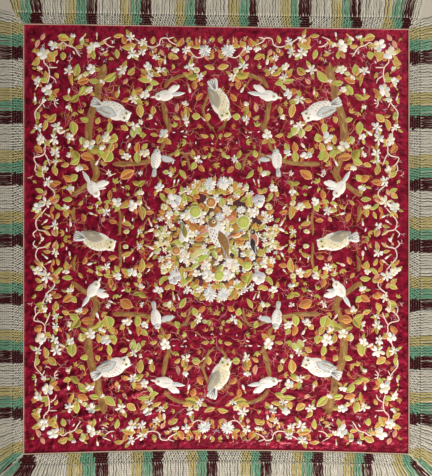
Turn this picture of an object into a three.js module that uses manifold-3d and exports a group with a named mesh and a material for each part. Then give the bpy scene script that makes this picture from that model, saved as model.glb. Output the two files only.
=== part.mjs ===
// Silk bedspread laid out flat: a silk panel with soft creases, a narrow braid sewn round its edge,
// and a knotted fringe on every side. Millimetres, +Z up, the face of the cloth upwards, the head end
// towards +Y, and the origin under the middle of the whole spread.
import * as THREE from "three";
import Module from "manifold-3d";
import { mergeVertices } from "three/addons/utils/BufferGeometryUtils.js";

// Silk panel
const PANEL_WIDTH = 2150;
const PANEL_LENGTH = 2400;
const CLOTH_THICKNESS = 2;
const TOP_EDGE_DROP = 30; // the head edge runs this much lower at its right end
const FOOT_EDGE_BOW = 22; // the foot edge is drawn in this much at its middle
const FOOT_EDGE_STEPS = 24;

// Edge braid and fringe
const SEWING_GAP = 0.3; // between pieces that are sewn together
const BRAID_WIDTH = 7;
const BRAID_THICKNESS = 3.5;
const NET_DEPTH = 58; // the knotted heading of the fringe
const NET_THICKNESS = 2;
const LOCK_REACH = 155; // loose yarn beyond the knotted heading
const LOCK_PITCH = 36;
const LOCK_CORNER_INSET = 8; // the outermost locks stand this much further from the heading's mitred ends
const LOCK_ROOT_OVERLAP = 6; // how far a lock runs into the heading
const LOCK_LENGTH_UNEVEN = 12;
const LOCK_LEAN_UNEVEN = 2.5; // degrees
const LOCK_SWAY = 3;
const LOCK_SWAY_TURNS = 0.8;
const HEAD_CORNER_LEAN = 12; // degrees, the outermost lock at the two head corners
const FOOT_CORNER_LEAN = 36; // degrees, the outermost lock at the two foot corners
const CORNER_SPREAD = 320; // locks this near a corner begin to lean outwards
const CORNER_SPREAD_POWER = 1.4;

// Sections of one lock of fringe, from its root to its tip
const LOCK_SECTIONS = [
  { along: 0.0, width: 20, height: 3.2 },
  { along: 0.35, width: 19, height: 4.2 },
  { along: 0.7, width: 17, height: 3.6 },
  { along: 1.0, width: 11, height: 2.2 },
];

// Main creases in the silk: the middle of each from the panel's middle, its direction in degrees,
// its size, and how far its middle bends aside
const CREASES = [
  { x: -735, y: -991, angle: 12, length: 200, width: 40, height: 8, bend: 8 },
  { x: -575, y: -975, angle: 16, length: 120, width: 34, height: 6, bend: -5 },
  { x: -458, y: -874, angle: 21, length: 150, width: 42, height: 9, bend: 6 },
  { x: -592, y: -823, angle: 27, length: 110, width: 34, height: 6, bend: 5 },
  { x: -842, y: -826, angle: 30, length: 130, width: 36, height: 6, bend: -6 },
  { x: -640, y: -1122, angle: 25, length: 120, width: 36, height: 8, bend: 4 },
  { x: -354, y: -977, angle: 16, length: 120, width: 36, height: 6, bend: 6 },
  { x: -215, y: -1140, angle: -4, length: 150, width: 30, height: 5, bend: 5 },
  { x: 60, y: -1128, angle: 3, length: 170, width: 30, height: 5, bend: -6 },
  { x: 301, y: -972, angle: -11, length: 170, width: 38, height: 7, bend: 7 },
  { x: 474, y: -990, angle: -23, length: 120, width: 36, height: 7, bend: -5 },
  { x: 625, y: -985, angle: -28, length: 120, width: 38, height: 8, bend: 5 },
  { x: 483, y: -868, angle: -21, length: 160, width: 40, height: 8, bend: 6 },
  { x: 375, y: -1126, angle: -13, length: 180, width: 34, height: 7, bend: -6 },
  { x: 590, y: -1136, angle: -12, length: 190, width: 36, height: 8, bend: 6 },
  { x: 790, y: -1140, angle: -16, length: 140, width: 34, height: 7, bend: 5 },
  { x: 172, y: 1142, angle: -2, length: 330, width: 30, height: 5, bend: 8 },
  { x: 597, y: 1120, angle: -20, length: 150, width: 36, height: 7, bend: 6 },
  { x: -618, y: 997, angle: -20, length: 150, width: 38, height: 7, bend: -6 },
  { x: 491, y: 924, angle: -51, length: 200, width: 40, height: 8, bend: 8 },
];
// Stations along a crease, between its two tips, and across it: shares of its half length and half width
const CREASE_STATIONS = [-0.78, -0.42, 0, 0.42, 0.78];
const CREASE_ACROSS = [-1, -0.5, 0, 0.5, 1];
const CREASE_TAPER = 0.7;

const wasm = await Module();
wasm.setup();

const SILK = new THREE.MeshStandardMaterial({ name: "crimson silk", color: 0x8a1a2e, roughness: 0.45 });
const BRAID = new THREE.MeshStandardMaterial({ name: "cream braid", color: 0xd9c3a8, roughness: 0.7 });
const FRINGE = new THREE.MeshStandardMaterial({ name: "cream fringe", color: 0xc9c3b0, roughness: 0.75 });

// A repeatable uneven value from -1 to 1 for item number index
function uneven(index, kind) {
  const wave = Math.sin(index * 12.9898 + kind * 78.233) * 43758.5453;
  return 2 * (wave - Math.floor(wave)) - 1;
}

// The panel's corners, anticlockwise from the left of the foot edge
const corners = [
  new THREE.Vector2(-PANEL_WIDTH / 2, -PANEL_LENGTH / 2),
  new THREE.Vector2(PANEL_WIDTH / 2, -PANEL_LENGTH / 2),
  new THREE.Vector2(PANEL_WIDTH / 2, PANEL_LENGTH / 2 - TOP_EDGE_DROP),
  new THREE.Vector2(-PANEL_WIDTH / 2, PANEL_LENGTH / 2),
];

// One edge of the panel, with its own frame: u runs along it and v outwards from the cloth
class Edge {
  constructor(name, index, bow, steps, startLean, endLean) {
    Object.assign(this, { name, index, bow, steps, startLean, endLean });
    this.start = corners[index];
    const end = corners[(index + 1) % corners.length];
    this.length = this.start.distanceTo(end);
    this.along = end.clone().sub(this.start).normalize();
    this.out = new THREE.Vector2(this.along.y, -this.along.x);
  }

  point(u, v) {
    const share = THREE.MathUtils.clamp(u / this.length, 0, 1);
    const outwards = v - this.bow * Math.sin(Math.PI * share);
    return this.start.clone().addScaledVector(this.along, u).addScaledVector(this.out, outwards);
  }

  // How far the mitred end of a strip runs past the edge's end, for each millimetre outwards
  mitre(neighbour) {
    const bisector = this.out.clone().add(neighbour.out);
    return Math.abs(bisector.dot(this.along)) / (1 + this.out.dot(neighbour.out));
  }
}

const edges = [
  new Edge("foot", 0, FOOT_EDGE_BOW, FOOT_EDGE_STEPS, FOOT_CORNER_LEAN, FOOT_CORNER_LEAN),
  new Edge("right", 1, 0, 1, FOOT_CORNER_LEAN, HEAD_CORNER_LEAN),
  new Edge("head", 2, 0, 1, HEAD_CORNER_LEAN, HEAD_CORNER_LEAN),
  new Edge("left", 3, 0, 1, HEAD_CORNER_LEAN, FOOT_CORNER_LEAN),
];
for (const edge of edges) {
  edge.startMitre = edge.mitre(edges[(edge.index + 3) % edges.length]);
  edge.endMitre = edge.mitre(edges[(edge.index + 1) % edges.length]);
}

function geometryFromTriangles(triangles) {
  const geometry = new THREE.BufferGeometry().setFromPoints(triangles.flat());
  geometry.computeVertexNormals();
  return geometry;
}

// The outline of one crease on the flat cloth, with the points across it at each station
function creaseForm(crease) {
  const turn = THREE.MathUtils.degToRad(crease.angle);
  const middle = new THREE.Vector2(crease.x, crease.y);
  const place = (along, across) =>
    new THREE.Vector2(along * crease.length / 2, across + crease.bend * (1 - along * along))
      .rotateAround(new THREE.Vector2(), turn)
      .add(middle);
  const tips = [place(-1, 0), place(1, 0)].map((p) => new THREE.Vector3(p.x, p.y, 0));
  const rows = CREASE_STATIONS.map((along) => {
    const swell = 1 - along * along;
    const halfWidth = (crease.width / 2) * swell ** CREASE_TAPER;
    return CREASE_ACROSS.map((across) => {
      const p = place(along, across * halfWidth);
      const rise = crease.height * swell * (1 + Math.cos(Math.PI * across)) / 2;
      return new THREE.Vector3(p.x, p.y, rise);
    });
  });
  const right = rows.map((row) => row[0]);
  const left = rows.map((row) => row[row.length - 1]).reverse();
  return { tips, rows, outline: [tips[0], ...right, tips[1], ...left] };
}

// The upper faces of one crease: a fan at each tip and quads between the stations
function creaseFaces({ tips, rows }) {
  const faces = [];
  const last = rows[rows.length - 1];
  for (let j = 0; j + 1 < CREASE_ACROSS.length; j += 1) {
    faces.push([tips[0], rows[0][j], rows[0][j + 1]]);
    faces.push([tips[1], last[j + 1], last[j]]);
    for (let i = 0; i + 1 < rows.length; i += 1) {
      const [a, b, c, d] = [rows[i][j], rows[i + 1][j], rows[i + 1][j + 1], rows[i][j + 1]];
      faces.push([a, b, c], [a, c, d]);
    }
  }
  return faces;
}

// A face with its corners anticlockwise as seen from above
function facingUp([a, b, c]) {
  const turn = (b.x - a.x) * (c.y - a.y) - (c.x - a.x) * (b.y - a.y);
  return turn < 0 ? [a, c, b] : [a, b, c];
}

// The silk: one sheet of even thickness, flat but for its creases
function silkPanel() {
  const outline = edges.flatMap((edge) =>
    Array.from({ length: edge.steps }, (_, i) => {
      const p = edge.point((edge.length * i) / edge.steps, 0);
      return new THREE.Vector3(p.x, p.y, 0);
    }),
  );
  const forms = CREASES.map(creaseForm);
  const holes = forms.map((form) => form.outline);
  const flatPoints = [outline, ...holes].flat();
  const flatFaces = THREE.ShapeUtils.triangulateShape(outline, holes).map((face) =>
    face.map((index) => flatPoints[index]),
  );
  const upper = [...flatFaces, ...forms.flatMap(creaseFaces)].map(facingUp);

  const lift = new THREE.Vector3(0, 0, CLOTH_THICKNESS);
  const raised = (p) => p.clone().add(lift);
  const top = upper.map((face) => face.map(raised));
  const underside = upper.map(([a, b, c]) => [a, c, b]);
  const rim = outline.flatMap((a, i) => {
    const b = outline[(i + 1) % outline.length];
    return [[a, b, raised(b)], [a, raised(b), raised(a)]];
  });
  return geometryFromTriangles([...top, ...underside, ...rim]);
}

// A flat strip along one edge, mitred at both ends, from inner to outer distance off the cloth
function edgeStrip(edge, inner, outer, thickness) {
  const line = (v) => {
    const first = SEWING_GAP - edge.startMitre * v;
    const last = edge.length + edge.endMitre * v - SEWING_GAP;
    const count = edge.steps + 1;
    return Array.from({ length: count }, (_, i) => edge.point(first + ((last - first) * i) / edge.steps, v));
  };
  const shape = new THREE.Shape([...line(outer), ...line(inner).reverse()]);
  return new THREE.ExtrudeGeometry(shape, { depth: thickness, bevelEnabled: false });
}

// The lean of a lock of fringe, in degrees: it fans out near the corners
function lockLean(edge, u, index) {
  const near = (distance) => Math.max(0, 1 - distance / CORNER_SPREAD) ** CORNER_SPREAD_POWER;
  const outwards = edge.endLean * near(edge.length - u) - edge.startLean * near(u);
  return outwards + LOCK_LEAN_UNEVEN * uneven(index, 1);
}

// One lock of fringe: a tapering three-sided bar that lies level on the floor
function fringeLock(edge, u, root, index) {
  const lean = THREE.MathUtils.degToRad(lockLean(edge, u, index));
  const reach = LOCK_REACH - LOCK_LENGTH_UNEVEN * (0.5 + 0.5 * uneven(index, 2)) + LOCK_ROOT_OVERLAP;
  const phase = Math.PI * uneven(index, 3);
  const middle = ({ along }) => {
    const sway = LOCK_SWAY * along * Math.sin(2 * Math.PI * LOCK_SWAY_TURNS * along + phase);
    const off = reach * along;
    return edge.point(u + off * Math.sin(lean) + sway, root + off * Math.cos(lean));
  };
  const line = LOCK_SECTIONS.map(middle);
  const sections = LOCK_SECTIONS.map(({ width, height }, i) => {
    const before = line[Math.max(0, i - 1)];
    const after = line[Math.min(line.length - 1, i + 1)];
    const forward = after.clone().sub(before).normalize();
    const aside = new THREE.Vector2(-forward.y, forward.x).multiplyScalar(width / 2);
    const { x, y } = line[i];
    return {
      left: new THREE.Vector3(x + aside.x, y + aside.y, 0),
      right: new THREE.Vector3(x - aside.x, y - aside.y, 0),
      ridge: new THREE.Vector3(x, y, height),
    };
  });
  const first = sections[0];
  const last = sections[sections.length - 1];
  const faces = [
    [first.left, first.right, first.ridge],
    [last.left, last.ridge, last.right],
  ];
  for (let i = 0; i + 1 < sections.length; i += 1) {
    const [a, b] = [sections[i], sections[i + 1]];
    faces.push([a.left, b.left, b.right], [a.left, b.right, a.right]);
    faces.push([a.left, a.ridge, b.ridge], [a.left, b.ridge, b.left]);
    faces.push([a.ridge, a.right, b.right], [a.ridge, b.right, b.ridge]);
  }
  return geometryFromTriangles(faces);
}

function solidFromGeometry(geometry) {
  const bare = new THREE.BufferGeometry().setAttribute("position", geometry.getAttribute("position"));
  bare.setIndex(geometry.index);
  const merged = mergeVertices(bare);
  return new wasm.Manifold(
    new wasm.Mesh({
      numProp: 3,
      vertProperties: new Float32Array(merged.attributes.position.array),
      triVerts: new Uint32Array(merged.index.array),
    }),
  );
}

function geometryFromSolid(solid) {
  const { vertProperties, triVerts } = solid.getMesh();
  const geometry = new THREE.BufferGeometry();
  geometry.setAttribute("position", new THREE.BufferAttribute(vertProperties, 3));
  geometry.setIndex(new THREE.BufferAttribute(triVerts, 1));
  geometry.computeVertexNormals();
  return geometry;
}

// The fringe of one edge: its knotted heading, with the loose locks fused to the outer side
function fringe(edge) {
  const inner = BRAID_WIDTH + 2 * SEWING_GAP;
  const outer = inner + NET_DEPTH;
  const first = LOCK_CORNER_INSET - edge.startMitre * outer;
  const span = edge.length + edge.endMitre * outer - LOCK_CORNER_INSET - first;
  const count = Math.floor(span / LOCK_PITCH);
  let solid = solidFromGeometry(edgeStrip(edge, inner, outer, NET_THICKNESS));
  for (let k = 0; k < count; k += 1) {
    const u = first + ((k + 0.5) * span) / count;
    const lock = fringeLock(edge, u, outer - LOCK_ROOT_OVERLAP, edge.index * LOCK_REACH + k);
    solid = solid.add(solidFromGeometry(lock));
  }
  return geometryFromSolid(solid);
}

function named(name, geometry, material) {
  const mesh = new THREE.Mesh(geometry, material);
  mesh.name = name;
  return mesh;
}

const spread = new THREE.Group();
spread.add(named("silk_panel", silkPanel(), SILK));
for (const edge of edges) {
  const braid = edgeStrip(edge, SEWING_GAP, SEWING_GAP + BRAID_WIDTH, BRAID_THICKNESS);
  spread.add(named(`edge_braid_${edge.name}`, braid, BRAID));
  spread.add(named(`fringe_${edge.name}`, fringe(edge), FRINGE));
}

// The middle of the whole spread, fringe included, comes over the origin
const middle = new THREE.Box3().setFromObject(spread).getCenter(new THREE.Vector3());
spread.position.set(-middle.x, -middle.y, 0);

const bedspread = new THREE.Group();
bedspread.add(spread);
export default bedspread;
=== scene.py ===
"""Looks of the silk bedspread: the creased silk, its embroidery, the edge braid and the knotted fringe.

Plans are in millimetres from the middle of the silk panel, x to the right and y towards the head end.
They become metres in the CAD frame when a piece is made.
"""
import math
from collections import namedtuple

import bpy
import numpy as np
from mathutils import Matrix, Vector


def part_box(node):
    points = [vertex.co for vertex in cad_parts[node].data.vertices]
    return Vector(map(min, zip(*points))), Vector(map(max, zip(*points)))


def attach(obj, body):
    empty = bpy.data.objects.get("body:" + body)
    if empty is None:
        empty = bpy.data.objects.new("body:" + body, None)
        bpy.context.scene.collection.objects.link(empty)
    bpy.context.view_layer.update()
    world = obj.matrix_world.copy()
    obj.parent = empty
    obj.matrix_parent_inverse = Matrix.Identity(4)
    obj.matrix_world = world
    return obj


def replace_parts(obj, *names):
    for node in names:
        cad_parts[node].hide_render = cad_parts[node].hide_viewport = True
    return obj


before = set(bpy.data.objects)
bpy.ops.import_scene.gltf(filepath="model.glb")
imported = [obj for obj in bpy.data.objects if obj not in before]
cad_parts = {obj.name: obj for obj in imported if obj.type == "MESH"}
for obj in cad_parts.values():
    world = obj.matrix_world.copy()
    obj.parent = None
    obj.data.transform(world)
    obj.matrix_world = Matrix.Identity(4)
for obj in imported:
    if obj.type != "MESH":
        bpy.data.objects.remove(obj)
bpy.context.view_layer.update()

MM = 0.001
CM = 10.0
rng = np.random.default_rng(11)

# Sizes of the cloth, as in the CAD

panel_low, panel_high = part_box("silk_panel")
PANEL_MIDDLE = (np.array(panel_low[:2]) + np.array(panel_high[:2])) / 2
PANEL_WIDTH = (panel_high.x - panel_low.x) / MM
PANEL_LENGTH = (panel_high.y - panel_low.y) / MM
TOP_EDGE_DROP = 30.0
FOOT_EDGE_BOW = 22.0
SEWING_GAP = 0.3
BRAID_WIDTH = 7.0
BRAID_THICKNESS = 3.2
NET_DEPTH = 58.0
STRAND_REACH = 152.0
SILK_THICKNESS = 1.2
SILK_LIFT = 0.2  # the underside lies this much above the floor

# Creases: middle, direction in degrees, length, width, height and sideways bend
Crease = namedtuple("Crease", "x y angle length width height bend")
MAIN_CREASES = [
    Crease(-735, -991, 12, 200, 40, 8, 8),
    Crease(-575, -975, 16, 120, 34, 6, -5),
    Crease(-458, -874, 21, 150, 42, 9, 6),
    Crease(-592, -823, 27, 110, 34, 6, 5),
    Crease(-842, -826, 30, 130, 36, 6, -6),
    Crease(-640, -1122, 25, 120, 36, 8, 4),
    Crease(-354, -977, 16, 120, 36, 6, 6),
    Crease(-215, -1140, -4, 150, 30, 5, 5),
    Crease(60, -1128, 3, 170, 30, 5, -6),
    Crease(301, -972, -11, 170, 38, 7, 7),
    Crease(474, -990, -23, 120, 36, 7, -5),
    Crease(625, -985, -28, 120, 38, 8, 5),
    Crease(483, -868, -21, 160, 40, 8, 6),
    Crease(375, -1126, -13, 180, 34, 7, -6),
    Crease(590, -1136, -12, 190, 36, 8, 6),
    Crease(790, -1140, -16, 140, 34, 7, 5),
    Crease(172, 1142, -2, 330, 30, 5, 8),
    Crease(597, 1120, -20, 150, 36, 7, 6),
    Crease(-618, 997, -20, 150, 38, 7, -6),
    Crease(491, 924, -51, 200, 40, 8, 8),
]
# Zones of small creases: how many, the zone's x and y limits, their direction and its spread
CreaseZone = namedtuple("CreaseZone", "count x0 x1 y0 y1 angle spread")
SMALL_CREASE_ZONES = [
    CreaseZone(26, -980, -150, -1150, -760, 20, 14),
    CreaseZone(26, 150, 980, -1150, -760, -20, 14),
    CreaseZone(14, -950, 950, -1160, -1110, 0, 14),
    CreaseZone(16, -900, 900, 1060, 1150, -8, 14),
    CreaseZone(16, -900, 900, 800, 1000, -30, 25),
    CreaseZone(16, 985, 1035, -900, 900, 4, 12),
    CreaseZone(14, -1035, -985, -900, 900, -4, 12),
    CreaseZone(90, -950, 950, -800, 900, 0, 90),
]
SMALL_CREASE_LENGTHS = (70, 190)
SMALL_CREASE_WIDTHS = (24, 36)
SMALL_CREASE_HEIGHTS = (2.0, 5.2)
SMALL_CREASE_BEND = 6


def small_creases():
    made = []
    for zone in SMALL_CREASE_ZONES:
        for _ in range(zone.count):
            made.append(Crease(
                rng.uniform(zone.x0, zone.x1),
                rng.uniform(zone.y0, zone.y1),
                zone.angle + zone.spread * rng.uniform(-1, 1),
                rng.uniform(*SMALL_CREASE_LENGTHS),
                rng.uniform(*SMALL_CREASE_WIDTHS),
                rng.uniform(*SMALL_CREASE_HEIGHTS),
                rng.uniform(-SMALL_CREASE_BEND, SMALL_CREASE_BEND),
            ))
    return made


# The silk's main creases stand narrower and higher than those of the solid, as thin silk does
CREASE_NARROWING = 0.85
CREASE_RAISING = 1.35
CREASES = [
    crease._replace(width=crease.width * CREASE_NARROWING, height=crease.height * CREASE_RAISING)
    for crease in MAIN_CREASES
]
CREASES += small_creases()
# Broad soft swells of the silk: wavelength in mm, direction in degrees, height and phase
Swell = namedtuple("Swell", "wave angle height phase")
SWELLS = [
    Swell(610, 15, 0.9, 0.4),
    Swell(430, 80, 0.8, 2.1),
    Swell(270, -35, 0.6, 1.2),
    Swell(190, 62, 0.45, 4.0),
    Swell(140, -70, 0.35, 0.9),
]


def silk_height(x, y):
    """Height of the silk's upper face over the floor."""
    high = np.full(np.shape(x), SILK_LIFT + SILK_THICKNESS)
    for swell in SWELLS:
        turn = math.radians(swell.angle)
        along = x * math.cos(turn) + y * math.sin(turn)
        high = high + swell.height * (0.5 + 0.5 * np.sin(2 * math.pi * along / swell.wave + swell.phase))
    for crease in CREASES:
        near = (abs(x - crease.x) < crease.length) & (abs(y - crease.y) < crease.length)
        turn = math.radians(crease.angle)
        dx, dy = x[near] - crease.x, y[near] - crease.y
        s = (dx * math.cos(turn) + dy * math.sin(turn)) / (crease.length / 2)
        swelling = np.clip(1 - s * s, 0, 1)
        off = -dx * math.sin(turn) + dy * math.cos(turn) - crease.bend * (1 - s * s)
        t = np.clip(off / (crease.width / 2 * np.maximum(swelling, 1e-6) ** 0.7), -1, 1)
        high[near] += crease.height * swelling * (0.5 + 0.5 * np.cos(math.pi * t))
    return high


# The four edges, anticlockwise from the foot: u runs along each, v outwards from the silk

CORNERS = np.array([
    (-PANEL_WIDTH / 2, -PANEL_LENGTH / 2),
    (PANEL_WIDTH / 2, -PANEL_LENGTH / 2),
    (PANEL_WIDTH / 2, PANEL_LENGTH / 2 - TOP_EDGE_DROP),
    (-PANEL_WIDTH / 2, PANEL_LENGTH / 2),
])
HEAD_CORNER_LEAN = 12.0
FOOT_CORNER_LEAN = 36.0
CORNER_SPREAD = 320.0
CORNER_SPREAD_POWER = 1.4
# Colour stripes of the fringe: the distance up to the first whole repeat, where that starts, its length, how
# much shorter each next one is, and whether they run from the far end of the edge
Stripes = namedtuple("Stripes", "lead first repeat shrink from_end")
# Where each colour ends, as a share of the repeat
YARN_STRIPES = (
    (0.1, "maroon yarn"),
    (0.53, "cream yarn"),
    (0.72, "yellow yarn"),
    (0.9, "green yarn"),
    (1.01, "maroon yarn"),
)


class Edge:
    def __init__(self, name, index, bow, leans, stripes):
        self.name, self.index, self.bow, self.leans, self.stripes = name, index, bow, leans, stripes
        self.start = CORNERS[index]
        run = CORNERS[(index + 1) % 4] - self.start
        self.length = float(np.hypot(*run))
        self.along = run / self.length
        self.out = np.array((self.along[1], -self.along[0]))

    def point(self, u, v):
        bow = self.bow * np.sin(math.pi * np.clip(u / self.length, 0, 1))
        return self.start + np.multiply.outer(u, self.along) + np.multiply.outer(v - bow, self.out)

    def mitre(self, neighbour):
        return abs((self.out + neighbour.out) @ self.along) / (1 + self.out @ neighbour.out)

    def spread(self, share, v):
        """Place along the edge for a share from 0 to 1 of the mitred strip's length at v."""
        first = SEWING_GAP - self.mitres[0] * v
        last = self.length + self.mitres[1] * v - SEWING_GAP
        return first + (last - first) * share

    def lean(self, u):
        near = [np.clip(1 - d / CORNER_SPREAD, 0, None) ** CORNER_SPREAD_POWER for d in (u, self.length - u)]
        return np.radians(self.leans[1] * near[1] - self.leans[0] * near[0])

    def stripe(self, u):
        """Yarn colour at u: the stripes run maroon, cream, yellow, green and again maroon."""
        lead, first, repeat, shrink, from_end = self.stripes
        at = self.length - u if from_end else u
        start, step, k = first - lead, lead, 0
        while at >= start + step:
            start += step
            step = repeat - shrink * k
            k += 1
        phase = (at - start) / step % 1
        return next(yarn for limit, yarn in YARN_STRIPES if phase < limit)


EDGES = [
    Edge("foot", 0, FOOT_EDGE_BOW, (FOOT_CORNER_LEAN, FOOT_CORNER_LEAN), Stripes(416, 440, 312, 8, False)),
    Edge("right", 1, 0.0, (FOOT_CORNER_LEAN, HEAD_CORNER_LEAN), Stripes(358, 160, 358, 9, True)),
    Edge("head", 2, 0.0, (HEAD_CORNER_LEAN, HEAD_CORNER_LEAN), Stripes(310, 70, 310, 5, True)),
    Edge("left", 3, 0.0, (HEAD_CORNER_LEAN, FOOT_CORNER_LEAN), Stripes(358, 160, 358, 9, False)),
]
for edge in EDGES:
    edge.mitres = (edge.mitre(EDGES[edge.index - 1]), edge.mitre(EDGES[(edge.index + 1) % 4]))

# Materials

SILK_RED = "#80102b"
FLOOR_GREY = "#b9b3a4"
FLOSS_COLOURS = {
    "ivory floss": "#f0ede6",
    "mist floss": "#ccd1d2",
    "lilac floss": "#bcb7c2",
    "cream floss": "#e2d9b6",
    "pale green floss": "#d0cd88",
    "green floss": "#b8ab48",
    "olive floss": "#8d7f2e",
    "straw floss": "#e2cc86",
    "gold floss": "#c98c38",
    "peach floss": "#e0a565",
    "rust floss": "#b26529",
    "rose floss": "#cf9288",
    "blush floss": "#efd8c8",
    "brown floss": "#936731",
    "bark floss": "#7c5a2c",
    "grey floss": "#b2b0a8",
    "slate floss": "#75706a",
    "taupe floss": "#a79e8a",
    "dark floss": "#2b171a",
    "copper floss": "#c67a58",
    "lime floss": "#a9bc48",
    "tan floss": "#a8844a",
    # Wine floss only paints the shade in the gaps of the medallion
    "wine floss": "#52191f",
    "pink floss": "#d07f8c",
}
YARN_COLOURS = {
    "cream yarn": "#e0ddd0",
    "yellow yarn": "#cfc389",
    "green yarn": "#7fb596",
    "maroon yarn": "#4f0f1a",
    "tape yarn": "#cbb09a",
}


def linear(hex_colour, shade=1.0):
    """Linear RGBA of an sRGB hex colour, times a shade."""
    parts = [int(hex_colour[i:i + 2], 16) / 255 for i in (1, 3, 5)]
    light = [c / 12.92 if c <= 0.04045 else ((c + 0.055) / 1.055) ** 2.4 for c in parts]
    return (*[min(1.0, c * shade) for c in light], 1.0)


def add(tree, kind, settings=(), **inputs):
    """Adds a node. Inputs are values, or sockets to link from; an underscore in a name is a space."""
    made = tree.nodes.new(kind)
    for key, value in dict(settings).items():
        setattr(made, key, value)
    for key, value in inputs.items():
        socket = made.inputs[int(key[1:]) if key[1:].isdigit() else key.replace("_", " ")]
        if isinstance(value, bpy.types.NodeSocket):
            tree.links.new(value, socket)
        else:
            socket.default_value = value
    return made


def new_material(name):
    made = bpy.data.materials.new(name)
    made.use_nodes = True
    made.node_tree.nodes.clear()
    return made, made.node_tree


def bands(pitch):
    """Scale of a wave texture whose bands are pitch mm apart, on coordinates in metres."""
    return 2 * math.pi / (20 * pitch * MM)


def silk_satin():
    """Crimson silk satin: deep red whose sheen keeps the colour of the dye, puckered between stitches."""
    made, tree = new_material("crimson silk satin")
    place = add(tree, "ShaderNodeTexCoord").outputs["Object"]
    clouds = add(tree, "ShaderNodeTexNoise", Vector=place, Scale=24.0, Detail=4.0).outputs["Fac"]
    stretched = add(tree, "ShaderNodeMapping", Vector=place, Scale=(1.0, 14.0, 1.0)).outputs["Vector"]
    slubs = add(tree, "ShaderNodeTexNoise", Vector=stretched, Scale=16.0, Detail=3.0).outputs["Fac"]
    mixed = add(tree, "ShaderNodeMath", {"operation": "MULTIPLY_ADD"}, _0=slubs, _1=0.4, _2=clouds).outputs[0]
    # The red runs from dark to light over the clouds and slubs: the slubs are unevenness of the silk itself,
    # while the wide range from dark to light is painted shade and sheen of puckers and fine creases
    colour = add(tree, "ShaderNodeValToRGB", Fac=mixed)
    colour.color_ramp.elements[0].position = 0.53
    colour.color_ramp.elements[0].color = linear(SILK_RED, 0.26)
    colour.color_ramp.elements[1].position = 0.86
    colour.color_ramp.elements[1].color = linear(SILK_RED, 1.3)
    # The real threads are under 0.2 mm; they are drawn 3 mm apart so that they show at all
    weave = add(tree, "ShaderNodeTexWave", {"bands_direction": "Y"}, Vector=place, Scale=bands(3.0),
                Distortion=2.0, Detail=2.0).outputs["Fac"]
    relief = add(tree, "ShaderNodeMath", {"operation": "MULTIPLY_ADD"}, _0=slubs, _1=2.0, _2=weave).outputs[0]
    woven = add(tree, "ShaderNodeBump", Strength=0.16, Distance=0.0006, Height=relief).outputs["Normal"]
    # Puckers some 40 mm across, between the stitched patches
    puckers = add(tree, "ShaderNodeTexNoise", Vector=place, Scale=30.0, Detail=2.0).outputs["Fac"]
    bump = add(tree, "ShaderNodeBump", Strength=1.0, Distance=0.012, Height=puckers,
               Normal=woven).outputs["Normal"]
    shader = add(tree, "ShaderNodeBsdfPrincipled", Base_Color=colour.outputs["Color"], Roughness=0.33,
                 Specular_IOR_Level=0.8, Specular_Tint=linear("#ff7088"), Sheen_Weight=0.12,
                 Sheen_Roughness=0.35, Sheen_Tint=linear("#e0607c"), Normal=bump)
    add(tree, "ShaderNodeOutputMaterial", Surface=shader.outputs["BSDF"])
    return made


def silk_floss(name, hex_colour):
    """Untwisted embroidery silk in satin stitch: smooth parallel threads with a soft gloss, each patch a
    little lighter or darker than the next."""
    made, tree = new_material(name)
    stitch = add(tree, "ShaderNodeAttribute", {"attribute_name": "stitch"}).outputs["Vector"]
    tone = add(tree, "ShaderNodeAttribute", {"attribute_name": "tone"}).outputs["Fac"]
    # Real stitches lie 0.5 mm apart; they are drawn 2.4 mm apart so that they show
    threads = add(tree, "ShaderNodeTexWave", {"bands_direction": "Y"}, Vector=stitch, Scale=bands(2.4),
                  Distortion=1.2, Detail=1.0).outputs["Fac"]
    # The thread bands darken the colour in the grooves between stitches, a painted shade; the tone of each
    # patch differs at random
    mixed = add(tree, "ShaderNodeMath", {"operation": "MULTIPLY_ADD"}, _0=threads, _1=0.4, _2=tone).outputs[0]
    colour = add(tree, "ShaderNodeValToRGB", Fac=mixed)
    colour.color_ramp.elements[0].color = linear(hex_colour, 0.66)
    colour.color_ramp.elements[1].color = linear(hex_colour, 1.12)
    bump = add(tree, "ShaderNodeBump", Strength=0.35, Distance=0.0005, Height=threads).outputs["Normal"]
    shader = add(tree, "ShaderNodeBsdfPrincipled", Base_Color=colour.outputs["Color"], Roughness=0.5,
                 Sheen_Weight=0.2, Sheen_Roughness=0.4, Normal=bump)
    add(tree, "ShaderNodeOutputMaterial", Surface=shader.outputs["BSDF"])
    return made


def fringe_yarn(name, hex_colour):
    """Loosely twisted silk yarn: matt strands that differ a little from each other, with a slanting twist,
    and painted shade in its grooves and on yarn that lies deep.
    """
    made, tree = new_material(name)
    stitch = add(tree, "ShaderNodeAttribute", {"attribute_name": "stitch"}).outputs["Vector"]
    tone = add(tree, "ShaderNodeAttribute", {"attribute_name": "tone"}).outputs["Fac"]
    # The twist is drawn 6 mm apart, coarser than the real 2 mm, so that it shows
    twist = add(tree, "ShaderNodeTexWave", {"bands_direction": "DIAGONAL"}, Vector=stitch, Scale=bands(6.0),
                Distortion=0.6).outputs["Fac"]
    # The twist darkens the colour in its grooves, a painted shade; tones below zero reach the dark end of the
    # ramp, the painted shade of the yarn that lies deep and of the band behind the net
    mixed = add(tree, "ShaderNodeMath", {"operation": "MULTIPLY_ADD"}, _0=twist, _1=0.3, _2=tone).outputs[0]
    colour = add(tree, "ShaderNodeValToRGB", Fac=mixed)
    colour.color_ramp.elements[0].color = linear(hex_colour, 0.16)
    colour.color_ramp.elements[1].color = linear(hex_colour, 1.1)
    bump = add(tree, "ShaderNodeBump", Strength=0.4, Distance=0.0008, Height=twist).outputs["Normal"]
    shader = add(tree, "ShaderNodeBsdfPrincipled", Base_Color=colour.outputs["Color"], Roughness=0.75,
                 Specular_IOR_Level=0.2, Normal=bump)
    add(tree, "ShaderNodeOutputMaterial", Surface=shader.outputs["BSDF"])
    return made


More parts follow.
